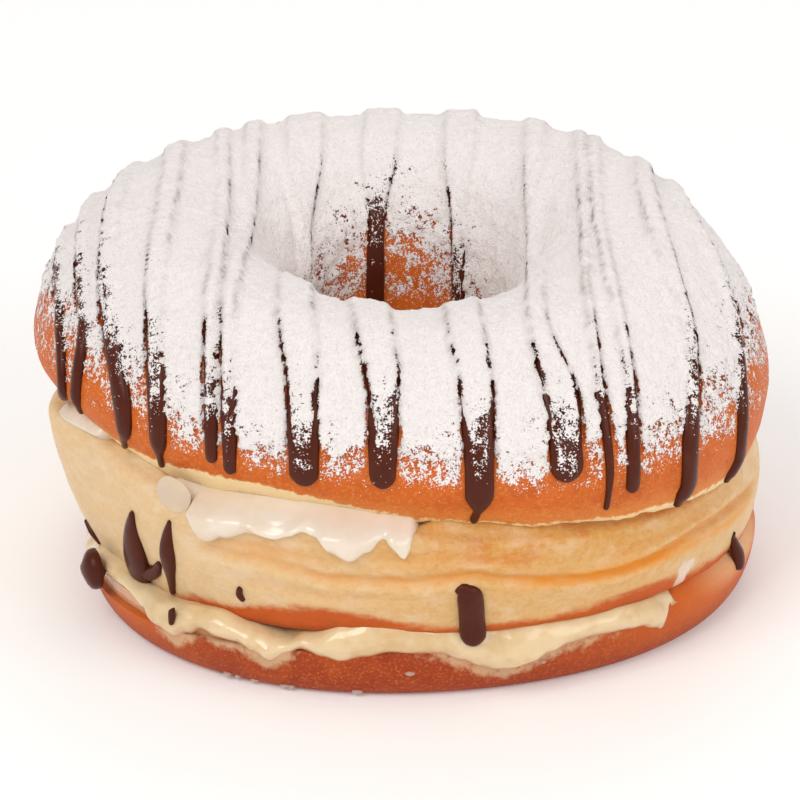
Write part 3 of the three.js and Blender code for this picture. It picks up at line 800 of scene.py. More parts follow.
def set_attribute(piece, name, values):
    """Stores one number for each point of a mesh, for its finish."""
    attribute = piece.data.attributes.new(name, "FLOAT", "POINT")
    attribute.data.foreach_set("value", np.asarray(values, np.float32).ravel())


def points_of(piece):
    """Points of a mesh, in millimetres."""
    flat = np.empty(len(piece.data.vertices) * 3)
    piece.data.vertices.foreach_get("co", flat)
    return flat.reshape(-1, 3) / MM


def normals_on(piece):
    """Normals at the points of a mesh."""
    flat = np.empty(len(piece.data.vertices) * 3)
    piece.data.vertices.foreach_get("normal", flat)
    return flat.reshape(-1, 3)


def even_stations(section, low, high, spacing):
    """Stations from low to high at an even spacing along a section, given as a function of the station."""
    fine = np.linspace(low, high, SECTION_SAMPLES)
    along = travelled(section(fine))
    return np.interp(np.arange(0, along[-1], spacing) / along[-1], along / along[-1], fine)


def ring_grid(angles, stations):
    """Angle and station at each point of a grid."""
    return np.meshgrid(np.asarray(angles, float), np.asarray(stations, float), indexing="ij")


def angles_round(spacing):
    """Angles round the ring at an even spacing along its rim."""
    count = round(2 * math.pi * RIM_RADIUS / spacing)
    return np.arange(count) * 360 / count


def relief(piece, name, feature, depth):
    """Dents and swells of a size over a piece, from clouds, applied."""
    clouds = bpy.data.textures.new(name, "CLOUDS")
    clouds.noise_scale = feature * MM
    clouds.noise_depth = 2
    clouds.noise_basis = "ORIGINAL_PERLIN"
    displace = piece.modifiers.new(name, "DISPLACE")
    displace.texture = clouds
    displace.texture_coords = "LOCAL"
    displace.strength = depth * MM
    displace.mid_level = 0.5
    bpy.context.view_layer.objects.active = piece
    bpy.ops.object.modifier_apply(modifier=name)
    bpy.data.textures.remove(clouds)


def add_ribbon(name, points, normals, widths, heights, sink):
    """Closed ribbon of chocolate: a sphere drawn out along a path, sunk into what it lies on."""
    rings = len(points) - 1
    deselect()
    bpy.ops.mesh.primitive_uv_sphere_add(segments=RIBBON_SEGMENTS, ring_count=rings, radius=1)
    ribbon = bpy.context.object
    ribbon.name = name
    start = points_of(ribbon) * MM
    step = np.rint(np.arccos(np.clip(start[:, 2], -1, 1)) / math.pi * rings).astype(int)
    turn = np.arctan2(start[:, 1], start[:, 0])
    across = unit(np.cross(np.gradient(points, axis=0), normals))
    tip = (step == 0) | (step == rings)
    sideways = np.where(tip, 0, np.cos(turn) * widths[step] / 2)
    crown = np.sign(np.sin(turn)) * np.abs(np.sin(turn)) ** RIBBON_FULLNESS
    upward = np.where(tip, 0, np.where(crown > 0, crown * heights[step], crown * sink))
    moved = points[step] + across[step] * sideways[:, None] + normals[step] * upward[:, None]
    ribbon.data.vertices.foreach_set("co", (moved * MM).ravel())
    ribbon.data.update()
    return ribbon


def join(pieces, name):
    """Joins pieces into one."""
    deselect()
    for piece in pieces:
        piece.select_set(True)
    bpy.context.view_layer.objects.active = pieces[0]
    bpy.ops.object.join()
    joined = bpy.context.object
    joined.name = name
    joined.data.name = name
    return joined


# Shader maths


class Wire:
    """A shader socket that Python's operators extend with Math nodes."""

    def __init__(self, finish, socket):
        self.finish = finish
        self.socket = socket

    def maths(self, operation, *values):
        return self.finish.node("ShaderNodeMath", {"operation": operation}, dict(enumerate(values)))

    def __add__(self, other):
        return self.maths("ADD", self, other)

    __radd__ = __add__

    def __sub__(self, other):
        return self.maths("SUBTRACT", self, other)

    def __rsub__(self, other):
        return self.maths("SUBTRACT", other, self)

    def __mul__(self, other):
        return self.maths("MULTIPLY", self, other)

    def sway(self, width):
        """Noise of 0 to 1 as a sway about 0 of this width."""
        return (self - 0.5) * width

    def between(self, low, high):
        """0 below low, 1 above high and a smooth step between them."""
        settings = {"interpolation_type": "SMOOTHSTEP"}
        sockets = {"Value": self, "From Min": low, "From Max": high}
        return self.finish.node("ShaderNodeMapRange", settings, sockets)


class Finish:
    """Node tree of one material."""

    def __init__(self, name):
        self.material = bpy.data.materials.new(name)
        self.material.use_nodes = True
        self.tree = self.material.node_tree
        self.tree.nodes.clear()

    def node(self, kind, settings=None, sockets=None, output=0):
        """Any node: its settings are set first, then its sockets' values or links."""
        made = self.tree.nodes.new(kind)
        for key, value in (settings or {}).items():
            setattr(made, key, value)
        for key, value in (sockets or {}).items():
            if isinstance(value, Wire):
                self.tree.links.new(value.socket, made.inputs[key])
            else:
                made.inputs[key].default_value = value
        return Wire(self, made.outputs[output]) if made.outputs else None

    def place(self, stretch):
        """Object coordinates, stretched."""
        coordinates = self.node("ShaderNodeTexCoord", output="Object")
        return self.node("ShaderNodeMapping", None, {"Vector": coordinates, "Scale": stretch})

    def speckle(self, feature, detail=2.0, rough=0.5, stretch=(1, 1, 1)):
        """Noise, 0 to 1, for features of a size in millimetres."""
        place = self.place(stretch)
        scale = 1 / (feature * MM)
        sockets = {"Vector": place, "Scale": scale, "Detail": detail, "Roughness": rough}
        return self.node("ShaderNodeTexNoise", None, sockets)

    def attribute(self, name):
        """Number that the mesh holds for each point."""
        return self.node("ShaderNodeAttribute", {"attribute_name": name}, None, "Fac")

    def mix(self, first, second, share):
        """Colour part of the way from the first to the second."""
        return self.node("ShaderNodeMix", {"data_type": "RGBA"}, {0: share, 6: first, 7: second}, 2)

    def bump(self, height, distance):
        """Normal raised by a height of 0 to 1 over a distance in millimetres."""
        return self.node("ShaderNodeBump", None, {"Height": height, "Distance": distance * MM})

    def surface(self, sockets):
        """Ends the tree with a shader that has these socket values."""
        shader = self.node("ShaderNodeBsdfPrincipled", None, sockets)
        self.node("ShaderNodeOutputMaterial", None, {"Surface": shader})
        return self.material


def crust_finish():
    """Fried crust that pales towards the torn cut, with fine sugar dusted over it."""
    finish = Finish("crust")
    station = finish.attribute("station")
    cover = finish.attribute("cover")
    mottle = finish.speckle(7, detail=4, rough=0.6)
    spots = finish.speckle(1.6, detail=4, rough=0.65)
    fine = finish.speckle(0.5, detail=3, rough=0.65)
    deep = mottle.between(0.45, 0.7) * 0.5 + spots.between(0.48, 0.68) * 0.6
    fried = finish.mix(paint("crust"), paint("crust_deep"), deep)
    pale = (1 - (station + spots.sway(0.3)).between(0.1, 0.55)) * 0.6 + fine.between(0.5, 0.66) * 0.5
    fried = finish.mix(fried, paint("crust_light"), pale)
    torn = 1 - (finish.attribute("torn") + spots.sway(0.3) + fine.sway(0.12)).between(0, 0.07)
    fried = finish.mix(fried, paint("crust_rim"), torn)
    grains = finish.speckle(0.32, detail=3, rough=0.7)
    dusted = (cover + grains.sway(1.6)).between(0.42, 0.6)
    return finish.surface({
        "Base Color": finish.mix(fried, paint("sugar"), dusted),
        "Roughness": dusted * 0.4 + 0.48 + fine.sway(0.3),
        "Normal": finish.bump(spots * 0.4 + fine * 0.6 + grains * dusted * 0.6, 0.36),
        "Specular IOR Level": 0.2,
    })


def chocolate_finish():
    """Satin chocolate with sugar on its flat tops."""
    finish = Finish("chocolate")
    cover = finish.attribute("cover")
    cloud = finish.speckle(2.5, detail=3, rough=0.5)
    grains = finish.speckle(0.3, detail=3, rough=0.7)
    brown = finish.mix(paint("chocolate"), paint("chocolate_thin"), cloud.between(0.45, 0.8) * 0.25)
    dusted = (cover + grains.sway(1.5)).between(0.42, 0.6)
    return finish.surface({
        "Base Color": finish.mix(brown, paint("sugar"), dusted),
        "Roughness": dusted * 0.55 + 0.3 + cloud.sway(0.12),
        "Normal": finish.bump(grains * dusted + cloud * 0.2, 0.12),
        "Specular IOR Level": 0.18,
    })


def sugar_finish():
    """Powdery sugar, broken up into grains where it lies thin, with painted shade in its hollows and beside
    the stripes.
    """
    finish = Finish("sugar")
    cover = finish.attribute("cover")
    bare = finish.attribute("bare")
    fine = finish.speckle(0.3, detail=2, rough=0.65)
    clump = finish.speckle(0.9, detail=3, rough=0.7)
    patch = finish.speckle(2.8, detail=3, rough=0.6)
    along = finish.speckle(3.2, detail=2, rough=0.55)
    line = bare * (along.between(0.36, 0.58) * 3 + 0.6)
    lies = cover - line + fine.sway(2.8) + clump.sway(2.6) + patch.sway(2.6)
    # Painted shade in the hollows between grains and clumps
    hollow = (1 - fine.between(0.3, 0.55)) * 0.45 + (1 - clump.between(0.3, 0.5)) * 0.3
    powder = finish.mix(paint("sugar"), paint("sugar_shade"), hollow)
    broken = along.between(0.34, 0.6) * (clump.between(0.35, 0.6) * 0.6 + 0.25)
    # Grey seams beside the stripes: thin sugar over the chocolate, with painted shade
    marked = finish.attribute("seam") * (broken + 0.12)
    return finish.surface({
        "Base Color": finish.mix(powder, paint("sugar_seam"), marked),
        "Roughness": 0.95,
        "Alpha": lies.between(0.0, 0.14),
        "Normal": finish.bump(fine * 0.5 + clump, 0.55),
        "Specular IOR Level": 0.12,
    })


def grain_finish():
    """Loose grains of sugar."""
    finish = Finish("sugar_grain")
    return finish.surface({"Base Color": paint("sugar"), "Roughness": 0.9, "Specular IOR Level": 0.2})


def dough_finish():
    """Pale fine-pored waist with warm creases, partly painted shade and glow, browned edges and milky smears.
    """
    finish = Finish("dough")
    share = finish.attribute("share")
    browned = finish.attribute("browned")
    warm = finish.attribute("warm")
    grain = finish.speckle(1.1, detail=4, rough=0.65, stretch=(1, 1, 1.4))
    fine = finish.speckle(0.4, detail=3, rough=0.6)
    patch = finish.speckle(7, detail=3, rough=0.55, stretch=(1, 1, 2))
    bloom = finish.speckle(4.5, detail=4, rough=0.6, stretch=(1, 1, 1.6))
    upper = share.between(0.35, 0.9)
    yellow = grain.between(0.4, 0.65) * 0.3 + fine.between(0.5, 0.7) * 0.2 + warm * (upper * 0.45 + 0.2)
    body = finish.mix(paint("dough"), paint("dough_yellow"), yellow)
    body = finish.mix(body, paint("dough_pale"), bloom.between(0.45, 0.7) * 0.4 + (1 - warm) * 0.35)
    # Crease colour: the dough's warmer tone with painted shade and glow
    glow = finish.attribute("glow") * (patch.between(0.35, 0.65) * 0.4 + 0.6)
    body = finish.mix(body, paint("dough_crease_shade_and_glow"), glow)
    blotches = (patch + grain.sway(0.25)).between(0.5, 0.7)
    top_brown = share.between(0.5, 0.8) * blotches * (warm * 0.4 + 0.05)
    body = finish.mix(body, paint("dough_browned"), top_brown * 0.6)
    low_brown = 1 - (browned + patch.sway(0.14) + grain.sway(0.1)).between(-0.05, 0.05)
    body = finish.mix(body, paint("dough_browned"), low_brown)
    darkest = 1 - (browned + patch.sway(0.3)).between(-0.26, -0.06)
    body = finish.mix(body, paint("base_dark"), darkest * 0.4)
    milk = (finish.attribute("milk") + grain.sway(1.4) + fine.sway(0.6)).between(0.3, 0.95)
    return finish.surface({
        "Base Color": finish.mix(body, paint("white_cream"), milk * 0.85),
        "Roughness": 0.5 + fine.sway(0.25) - milk * 0.25,
        "Normal": finish.bump(grain * 0.6 + fine * 0.5 + milk * 0.4, 0.22),
        "Subsurface Weight": 0.35,
        "Subsurface Radius": (0.004, 0.0025, 0.0012),
        "Subsurface Scale": 0.5,
        "Specular IOR Level": 0.3,
    })


def cream_finish(name, colour_name, warm_name, feature, depth):
    """Wet cream with ripples of a size and depth in millimetres, browner where crust shows through it."""
    finish = Finish(name)
    cloud = finish.speckle(2.2 * feature, detail=3, rough=0.55)
    ripple = finish.speckle(feature, detail=2, rough=0.5)
    milky = (finish.attribute("thin") + ripple.sway(1.2)).between(0.3, 1)
    body = finish.mix(paint(colour_name), paint(warm_name), cloud.between(0.42, 0.7) * 0.7)
    return finish.surface({
        "Base Color": finish.mix(body, paint("base_light"), milky * 0.55),
        "Roughness": 0.22 + ripple.sway(0.1),
        "Normal": finish.bump(ripple, depth),
        "Subsurface Weight": 0.25,
        "Subsurface Radius": (0.003, 0.0025, 0.002),
        "Subsurface Scale": 0.5,
        "Coat Weight": 0.5,
        "Coat Roughness": 0.06,
    })


def base_crust_finish():
    """Dark fried crust with fine lighter flecks and milky smears of cream."""
    finish = Finish("base_crust")
    smear = finish.attribute("smear")
    paler = finish.attribute("paler")
    mottle = finish.speckle(6, detail=4, rough=0.6)
    fleck = finish.speckle(0.45, detail=3, rough=0.65)
    streak = finish.speckle(1.6, detail=4, rough=0.65)
    body = finish.mix(paint("base_crust"), paint("crust_deep"), mottle.between(0.45, 0.7) * 0.6)
    body = finish.mix(body, paint("base_dark"), (1 - streak.between(0.3, 0.5)) * 0.5)
    body = finish.mix(body, paint("base_light"), fleck.between(0.5, 0.68) * 0.7)
    body = finish.mix(body, paint("crust"), paler)
    body = finish.mix(body, paint("crust_rim"), paler.between(0.8, 1.4) * 0.7)
    milky = (smear + streak.sway(1.1)).between(0.35, 0.8) * 0.6
    return finish.surface({
        "Base Color": finish.mix(body, paint("custard"), milky),
        "Roughness": 0.5 - milky * 0.3 + fleck.sway(0.2),
        "Normal": finish.bump(fleck * 0.6 + mottle * 0.4, 0.26),
        "Specular IOR Level": 0.2,
    })


# Stripes and sugar


def stripe_width(stripe, y, stations):
    """Width of a stripe, which draws in down the hole."""
    down = smoothstep(stations, *HOLE_STRIPE_STATIONS)
    return through(stripe.path, 2, y) * lerp(1, HOLE_STRIPE_SHARE, down)


def stripe_x(stripe, y, stations):
    """Place of a stripe across the ring, turned aside at its front end."""
    aside = stripe.bend * (1 - smoothstep(stations, stripe.stop, stripe.stop + STRIPE_BEND_REACH))
    return through(stripe.path, 1, y) + np.where(y < 0, aside, 0)


def across_stripe(stripe, x, y, normals, stations):
    """Signed distance off a stripe's middle, half its width, how far it has set in, and its downhill lean."""
    slope = through(stripe.path, 1, y + 0.5) - through(stripe.path, 1, y - 0.5)
    lean = np.hypot(1, slope)
    facing = (normals[..., 0] - slope * normals[..., 1]) / lean
    flat = np.sqrt(np.maximum(1 - facing**2, STRIPE_LEAST_FLAT))
    off = (x - stripe_x(stripe, y, stations)) / lean / flat
    half = stripe_width(stripe, y, stations) / 2
    stop = np.where(y < 0, stripe.stop + TAIL_STATIONS * stripe.tail, STRIPE_BACK_STOP)
    there = smoothstep(stations, stop + STRIPE_SET_IN[0], stop + STRIPE_SET_IN[1])
    downhill = np.sign(off) * facing * normals[..., 2] / flat
    return off, half, there, downhill


def stripe_fields(points, normals, stations, wobble=0):
    """Height of the chocolate over the crust, sharp and soft, how bare its sides are, and their seams of thin
    sugar and painted shade.
    """
    x = points[..., 0] - RING_CENTRE[0]
    y = points[..., 1] - RING_CENTRE[1]
    front = smoothstep(-y, BARE_FRONT_FROM, BARE_FRONT_TO)
    width = lerp(BARE_WIDTH_BACK, BARE_WIDTH_FRONT, front)
    barer = BARE_BASE + BARE_FRONT * front
    steep = BARE_STEEP * (1 - normals[..., 2])
    fainter = lerp(1, SEAM_BACK_SHARE, smoothstep(y, SEAM_FADE_FROM, SEAM_FADE_TO))
    height, soft_height, bare, seam = (np.zeros(x.shape) for _ in range(4))
    for stripe in STRIPES:
        off, half, there, downhill = across_stripe(stripe, x, y, normals, stations)
        inside = np.clip(1 - np.abs(off / half) ** STRIPE_SHOULDER, 0, 1) ** STRIPE_ROUNDNESS
        height = np.maximum(height, size("stripe_height") * inside * there)
        soft = 1 - smoothstep(np.abs(off), half + SUGAR_SHOULDERS[0], half + SUGAR_SHOULDERS[1])
        soft_height = np.maximum(soft_height, size("stripe_height") * soft * there)
        from_edge = np.abs(off) - half + BARE_INSET + wobble
        side = bell(from_edge, width) * there
        bare = np.maximum(bare, side * np.maximum(barer + downhill + steep, 0))
        # Seam beside the stripe: thin sugar there, with painted shade on its flank
        line = bell(from_edge, width / SEAM_NARROWING) * there * fainter
        seam = np.maximum(seam, line * np.clip(SEAM_BASE + SEAM_DOWNHILL * downhill, 0, 1))
    return height, soft_height, bare, seam


def sugar_cover(stations, angle, chocolate):
    """How well the dome is covered with sugar: below 0 where it is bare, more than 1 where it lies thick.

    Chocolate is 0 to 1 on the stripes, which shed their sugar where they are steep.
    """
    outside = (stations - level(SUGAR_EDGE, angle) - STRIPE_SHEDDING * chocolate) / SUGAR_EDGE_SPREAD
    back_wall = bell(turn_between(angle, BACK_WALL_ANGLE), BACK_WALL_HALF_WIDTH)
    wall_edge = lerp(WALL_EDGE, BACK_WALL_EDGE - BACK_WALL_EDGE_SHEDDING * chocolate, back_wall)
    spread = lerp(WALL_EDGE_SPREAD, BACK_WALL_SPREAD - BACK_WALL_SPREAD_SHEDDING * chocolate, back_wall)
    inside = (wall_edge - stations) / spread
    return np.clip(np.minimum(outside, inside), LEAST_COVER, MOST_COVER)


def front_section(stations):
    """Section of the top layer at the front."""
    return top_point(np.full_like(stations, FRONT), stations)


# Operators


class MESH_OT_doughnut_top(bpy.types.Operator):
    """Add the domed top layer of fried dough"""

    bl_idname = "mesh.doughnut_top"
    bl_label = "Top layer"

    def execute(self, context):
        stations = even_stations(front_section, 0, 4, CRUST_SPACING)
        angle, station = ring_grid(angles_round(CRUST_SPACING), stations)
        points = top_point(angle, station)
        cover = np.minimum(sugar_cover(station, angle, 0), 1) * CRUST_DUST - CRUST_DUST_LOSS
        tears = sum(depth * roughness_at(points, feature, octaves) for depth, feature, octaves in RIM_TEARS)
        points[..., 2] += tears * (1 - smoothstep(station, 0, RIM_TEAR_REACH))
        torn = station - level(TORN_RIM, angle)
        crust = add_ring("top_crust", points, station=station, cover=cover, torn=torn)
        relief(crust, "dents", feature=9, depth=0.5)
        relief(crust, "pores", feature=1.8, depth=0.12)
        finish_piece(crust, crust_finish(), "top_crust", "top_layer")
        return {"FINISHED"}


def stripe_angle(stripe, stations, back):
    """Angle at which the dome meets a stripe at each station, and where there is one."""
    sign = -1 if back else 1

    def offset(angle):
        point = top_point(angle, stations)
        middle = stripe_x(stripe, point[..., 1] - RING_CENTRE[1], stations)
        return (point[..., 0] - RING_CENTRE[0] - middle) * sign

    low = np.full_like(stations, 0.0 if back else 180.0)
    high = low + 180
    found = (offset(low) <= 0) & (offset(high) >= 0)
    for _ in range(HALVINGS):
        mid = (low + high) / 2
        below = offset(mid) < 0
        low = np.where(below, mid, low)
        high = np.where(below, high, mid)
    return (low + high) / 2, found


def stripe_run(stripe, first, last, back):
    """Angles and stations of a stripe up one side of the ring."""
    stations = np.linspace(first, last, STRIPE_SAMPLES)
    angle, found = stripe_angle(stripe, stations, back)
    return angle[found], stations[found]


def even_run(angle, stations):
    """Run of a stripe resampled to an even spacing, closer at its round ends."""
    points = top_point(angle, stations)
    along = travelled(points)
    total = along[-1]
    count = max(RIBBON_LEAST_STEPS, round((total - 2 * RIBBON_END[-1]) / RIBBON_SPACING))
    middle = np.linspace(RIBBON_END[-1], total - RIBBON_END[-1], count + 1)[1:-1]
    target = np.concatenate([RIBBON_END, middle, total - RIBBON_END[::-1]])
    angle = np.interp(target, along, np.unwrap(angle, period=360))
    return angle, np.interp(target, along, stations), target


def round_ends(along, width):
    """Share of the full width at distances along a ribbon, which has round ends."""
    share = np.clip(np.minimum(along, along[-1] - along) / (ROUND_END * width), 0, 1)
    return np.sqrt(np.clip(1 - (1 - share) ** 2, 0, 1))


class MESH_OT_doughnut_stripes(bpy.types.Operator):
    """Add the chocolate stripes across the top"""

    bl_idname = "mesh.doughnut_stripes"
    bl_label = "Chocolate stripes"

    def stripe_ribbon(self, stripe, angle, stations, number):
        """Ribbon along a run of a stripe, with an uneven width and a thin tail."""
        angle, stations, along = even_run(angle, stations)
        points = top_point(angle, stations)
        normals = normals_of(top_point, angle, stations)
        full = stripe_width(stripe, points[:, 1] - RING_CENTRE[1], stations)
        seed = number * STRIPE_WOBBLE_SEED
        wobble = np.array([noise.noise(Vector((seed, a / STRIPE_WOBBLE_LENGTH, 0.5))) for a in along])
        full = full * (1 + STRIPE_WOBBLE * wobble)
        starts_at_front = points[0, 1] < RING_CENTRE[1]
        if stripe.tail and starts_at_front:
            body = smoothstep(along / stripe.tail, *TAIL_BODY)
            full = lerp(stripe.tail_width, full, body)
        ends = round_ends(along, full)
        filled = np.clip(full / STRIPE_FULL_WIDTH, STRIPE_LEAST_HEIGHT, 1)
        heights = size("stripe_height") * np.sqrt(ends) * filled
        return add_ribbon(f"stripe_{number}", points, normals, full * ends, heights, STRIPE_SINK)

    def execute(self, context):
        ribbons = []
        for number, stripe in enumerate(STRIPES):
            front = stripe_run(stripe, stripe.stop, STRIPE_HOLE_STOP, False)
            back = stripe_run(stripe, STRIPE_BACK_STOP, STRIPE_HOLE_STOP, True)
            parted = stripe_angle(stripe, np.array([HOLE_RIM_STATION]), False)[1][0]
            whole = tuple(np.concatenate([f, b[::-1]]) for f, b in zip(front, back))
            for part, (angle, stations) in enumerate((front, back) if parted else (whole,)):
                ribbons.append(self.stripe_ribbon(stripe, angle, stations, number * 2 + part))
        stripes = join(ribbons, "chocolate_stripes")
        low = 1 - smoothstep(points_of(stripes)[:, 2], *STRIPE_DUST_HEIGHTS)
        upward = normals_on(stripes)[:, 2] - STRIPE_DUST_LEAST_UP
        set_attribute(stripes, "cover", upward * STRIPE_DUST_RATE - low * STRIPE_DUST_FADE)
        finish_piece(stripes, chocolate_finish(), "top_crust")
        return {"FINISHED"}


class MESH_OT_doughnut_sugar(bpy.types.Operator):
    """Add the sugar that lies on the crust and on the stripes"""

    bl_idname = "mesh.doughnut_sugar"
    bl_label = "Sugar"

    def execute(self, context):
        columns = (SUGAR_FRONT_COLUMNS, SUGAR_BACK_COLUMNS)
        angles = np.concatenate([np.linspace(*span, endpoint=False) for span in columns])
        stations = np.concatenate([even_stations(front_section, *rows) for rows in SUGAR_ROWS])
        angle, station = ring_grid(angles, stations)
        points = top_point(angle, station)
        normals = normals_of(top_point, angle, station)
        clump = roughness_at(points, SUGAR_CLUMP_SIZE, 2)
        drift = roughness_at(points, SUGAR_DRIFT_SIZE, 1, SUGAR_DRIFT_SHIFT)
        wobble = BARE_DRIFT * drift + BARE_CLUMP * clump
        height, soft_height, bare, seam = stripe_fields(points, normals, station, wobble)
        cover = sugar_cover(station, angle, height / size("stripe_height"))
        lies = smoothstep(cover - BARE_LOSS * bare + SUGAR_LIES_CLUMP * clump, *SUGAR_LIES)
        ragged = bell(cover - SUGAR_RAGGED[0], SUGAR_RAGGED[1])
        rim = bell(station - SUGAR_RIM[0], SUGAR_RIM[1])
        thick = size("sugar_thickness") * lerp(SUGAR_LEAST_SHARE, 1, lies)
        thick += lerp(*SUGAR_CLUMPS, ragged) * clump + lerp(*SUGAR_DRIFTS, rim) * drift
        piled = np.maximum(soft_height * SUGAR_FILL + thick, height + SUGAR_LEAST_LIFT)
        lift = lerp(height + SUGAR_BARE_LIFT, piled, lies)
        skin = points + normals * lift[..., None]

        share, rise = np.array(SUGAR_CORE).T
        inner = lerp(points[:, -1:], points[:, :1], share[None, :, None])
        inner[..., 2] += rise[None]
        hidden = ((0, 0), (0, len(SUGAR_CORE)))
        sugar = add_ring(
            "sugar_dusting", np.concatenate([skin, inner], axis=1),
            cover=np.pad(cover, hidden, constant_values=HIDDEN_COVER),
            bare=np.pad(bare, hidden), seam=np.pad(seam, hidden),
        )
        finish_piece(sugar, sugar_finish(), "top_crust")
        return {"FINISHED"}


class MESH_OT_doughnut_grains(bpy.types.Operator):
    """Add the loose clumps of sugar along the ragged edge and on the bare chocolate"""

    bl_idname = "mesh.doughnut_grains"
    bl_label = "Loose sugar"

    def execute(self, context):
        sizes = context.scene.doughnut_sizes
        draw = np.random.default_rng(GRAIN_SEED)
        tries = sizes.grain_count * GRAIN_TRIES
        angle = draw.uniform(0, 360, tries)
        station = draw.uniform(*GRAIN_STATIONS, tries)
        points = top_point(angle, station)
        normals = normals_of(top_point, angle, station)
        height, _, bare, _ = stripe_fields(points, normals, station)
        cover = sugar_cover(station, angle, height / size("stripe_height")) - BARE_LOSS * bare
        chance = GRAIN_CHANCE * bell(cover - GRAIN_COVER, GRAIN_COVER_SPREAD)
        kept = np.flatnonzero(draw.uniform(0, 1, tries) < chance)[: sizes.grain_count]
        deselect()
        bpy.ops.mesh.primitive_ico_sphere_add(subdivisions=1, radius=1)
        grains = bpy.context.object
        shape = points_of(grains) * MM
        faces = np.array([list(p.vertices) for p in grains.data.polygons])
        radius = size("grain_radius") * np.exp(draw.normal(0, GRAIN_SIZE_SPREAD, len(kept)))
        jitter = draw.uniform(*GRAIN_JITTER, (len(kept), len(shape), 1))
        centre = points[kept] + normals[kept] * (height[kept] + GRAIN_LIFT * radius)[:, None]
        corners = centre[:, None] + shape[None] * jitter * radius[:, None, None]
        index = faces[None] + (np.arange(len(kept)) * len(shape))[:, None, None]
        mesh = bpy.data.meshes.new("sugar_grains")
        mesh.from_pydata((corners * MM).reshape(-1, 3), [], index.reshape(-1, 3))
        grains.data = mesh
        grains.name = "sugar_grains"
        finish_piece(grains, grain_finish(), "top_crust")
        return {"FINISHED"}


class MESH_OT_doughnut_middle(bpy.types.Operator):
    """Add the pale middle layer"""

    bl_idname = "mesh.doughnut_middle"
    bl_label = "Middle layer"

    def right_glow(self, angle, share):
        """Wide warm band below the crease at the right, painted shade and glow in the crease colour."""
        band = bell(share - RIGHT_GLOW_SHARE, RIGHT_GLOW_SPREAD)
        return RIGHT_GLOW * band * bumps(RIGHT_GLOW_BUMPS, angle)

    def warmth(self, angle):
        """How warm the dough's colour is round the ring."""
        front = smoothstep(angle, *WARM_FRONT) * (1 - WARM_RIGHT_LOSS * smoothstep(angle, *WARM_RIGHT))
        return front + WARM_BACK * (1 - smoothstep(angle, *WARM_BACK_ENDS))

    def patch(self, angle, height, at, middle, half_angle, half_height, strength):
        """Strength of a milky patch at a place."""
        across = bell(turn_between(angle, at), half_angle)
        return strength * across * bell(height - middle, half_height)

    def foot(self, line):
        """Rows of the rounded foot, up to the side."""
        turn = np.radians(np.linspace(0, FOOT_TURN, FOOT_ROWS))[None]
        radius = plan_radius(MIDDLE_BASE_PLAN, line) - MIDDLE_UNDERCUT * (1 - np.sin(turn))
        height = level(MIDDLE_BASE, line) + level(MIDDLE_ROUNDING, line) * (1 - np.cos(turn))
        return ring_point(MIDDLE_BASE_PLAN.x, MIDDLE_BASE_PLAN.y, line, radius, height)

    def crown(self, line, inner):
        """Rows of the cut top from its rim in to the hole."""
        inward = (np.linspace(CROWN_START, 1, CROWN_ROWS) ** CROWN_CROWDING)[None]
        rim = plan_radius(MIDDLE_CROWN_PLAN, line) - MIDDLE_LIP
        radii = lerp(rim, inner, inward)
        shut = 1 - smoothstep(level(UPPER_REACH, line), *CROWN_CLOSES)
        closed = shut * (level(UPPER_FILLING, line) + CROWN_OVERLAP)
        lift = closed * smoothstep(rim - radii, 0, CROWN_LIFT_RUN) * smoothstep(radii, *CROWN_LIFT_RADII)
        return ring_point(0, 0, line, radii, middle_crown(line, radii) + lift)

    def execute(self, context):
        angles = angles_round(WALL_SPACING)
        line = angles[:, None]
        shares = np.linspace(0, 1, WALL_ROWS)
        angle, share = ring_grid(angles, shares)
        crease = crease_at(angle, share)
        outward = normals_of(middle_point, angle, share)
        side = middle_point(angle, share) - outward * (crease * size("crease_depth"))[..., None]
        inner = size("hole_radius") - HOLE_WAIST_INSET
        inner_low = ring_point(0, 0, line, np.full_like(line, inner), level(MIDDLE_BASE, line, inner))
        points = np.concatenate([self.foot(line), side, self.crown(line, inner), inner_low], axis=1)

        foot_shares = np.linspace(*FOOT_SHARES, FOOT_ROWS)
        crown_shares = np.full(CROWN_ROWS, CROWN_SHARE)
        row_share = np.concatenate([foot_shares, shares, crown_shares, [HOLE_SHARE]])[None]
        warm = self.warmth(line)
        glow = np.zeros(points.shape[:2])
        wall = slice(FOOT_ROWS, FOOT_ROWS + WALL_ROWS)
        # Painted shade and glow along the creases and in the band below them at the right
        glow[:, wall] = np.maximum(crease, 0) * CREASE_GLOW * (1 + warm) + self.right_glow(angle, share)
        milk = sum(self.patch(line, points[..., 2], *place) for place in MILKY_PATCHES)
        middle = add_ring(
            "middle_dough", points,
            share=row_share, glow=glow, browned=row_share - level(BROWN_EDGE, line), warm=warm, milk=milk,
        )
        relief(middle, "swells", feature=11, depth=0.7)
        relief(middle, "wrinkles", feature=3, depth=0.22)
        finish_piece(middle, dough_finish(), "crumb", "middle_layer")
        return {"FINISHED"}


def beside_middle(angle, height):
    """Point on the middle layer's side, which goes straight on up past the rounded lip."""
    point = middle_point(angle, np.minimum(middle_share(angle, height), MIDDLE_STRAIGHT))
    point[..., 2] = height
    return point


def hangs_at(reach):
    """0 where a cream stays inside and 1 where it hangs."""
    return smoothstep(reach, HANGS_FROM, HANGS_TO)


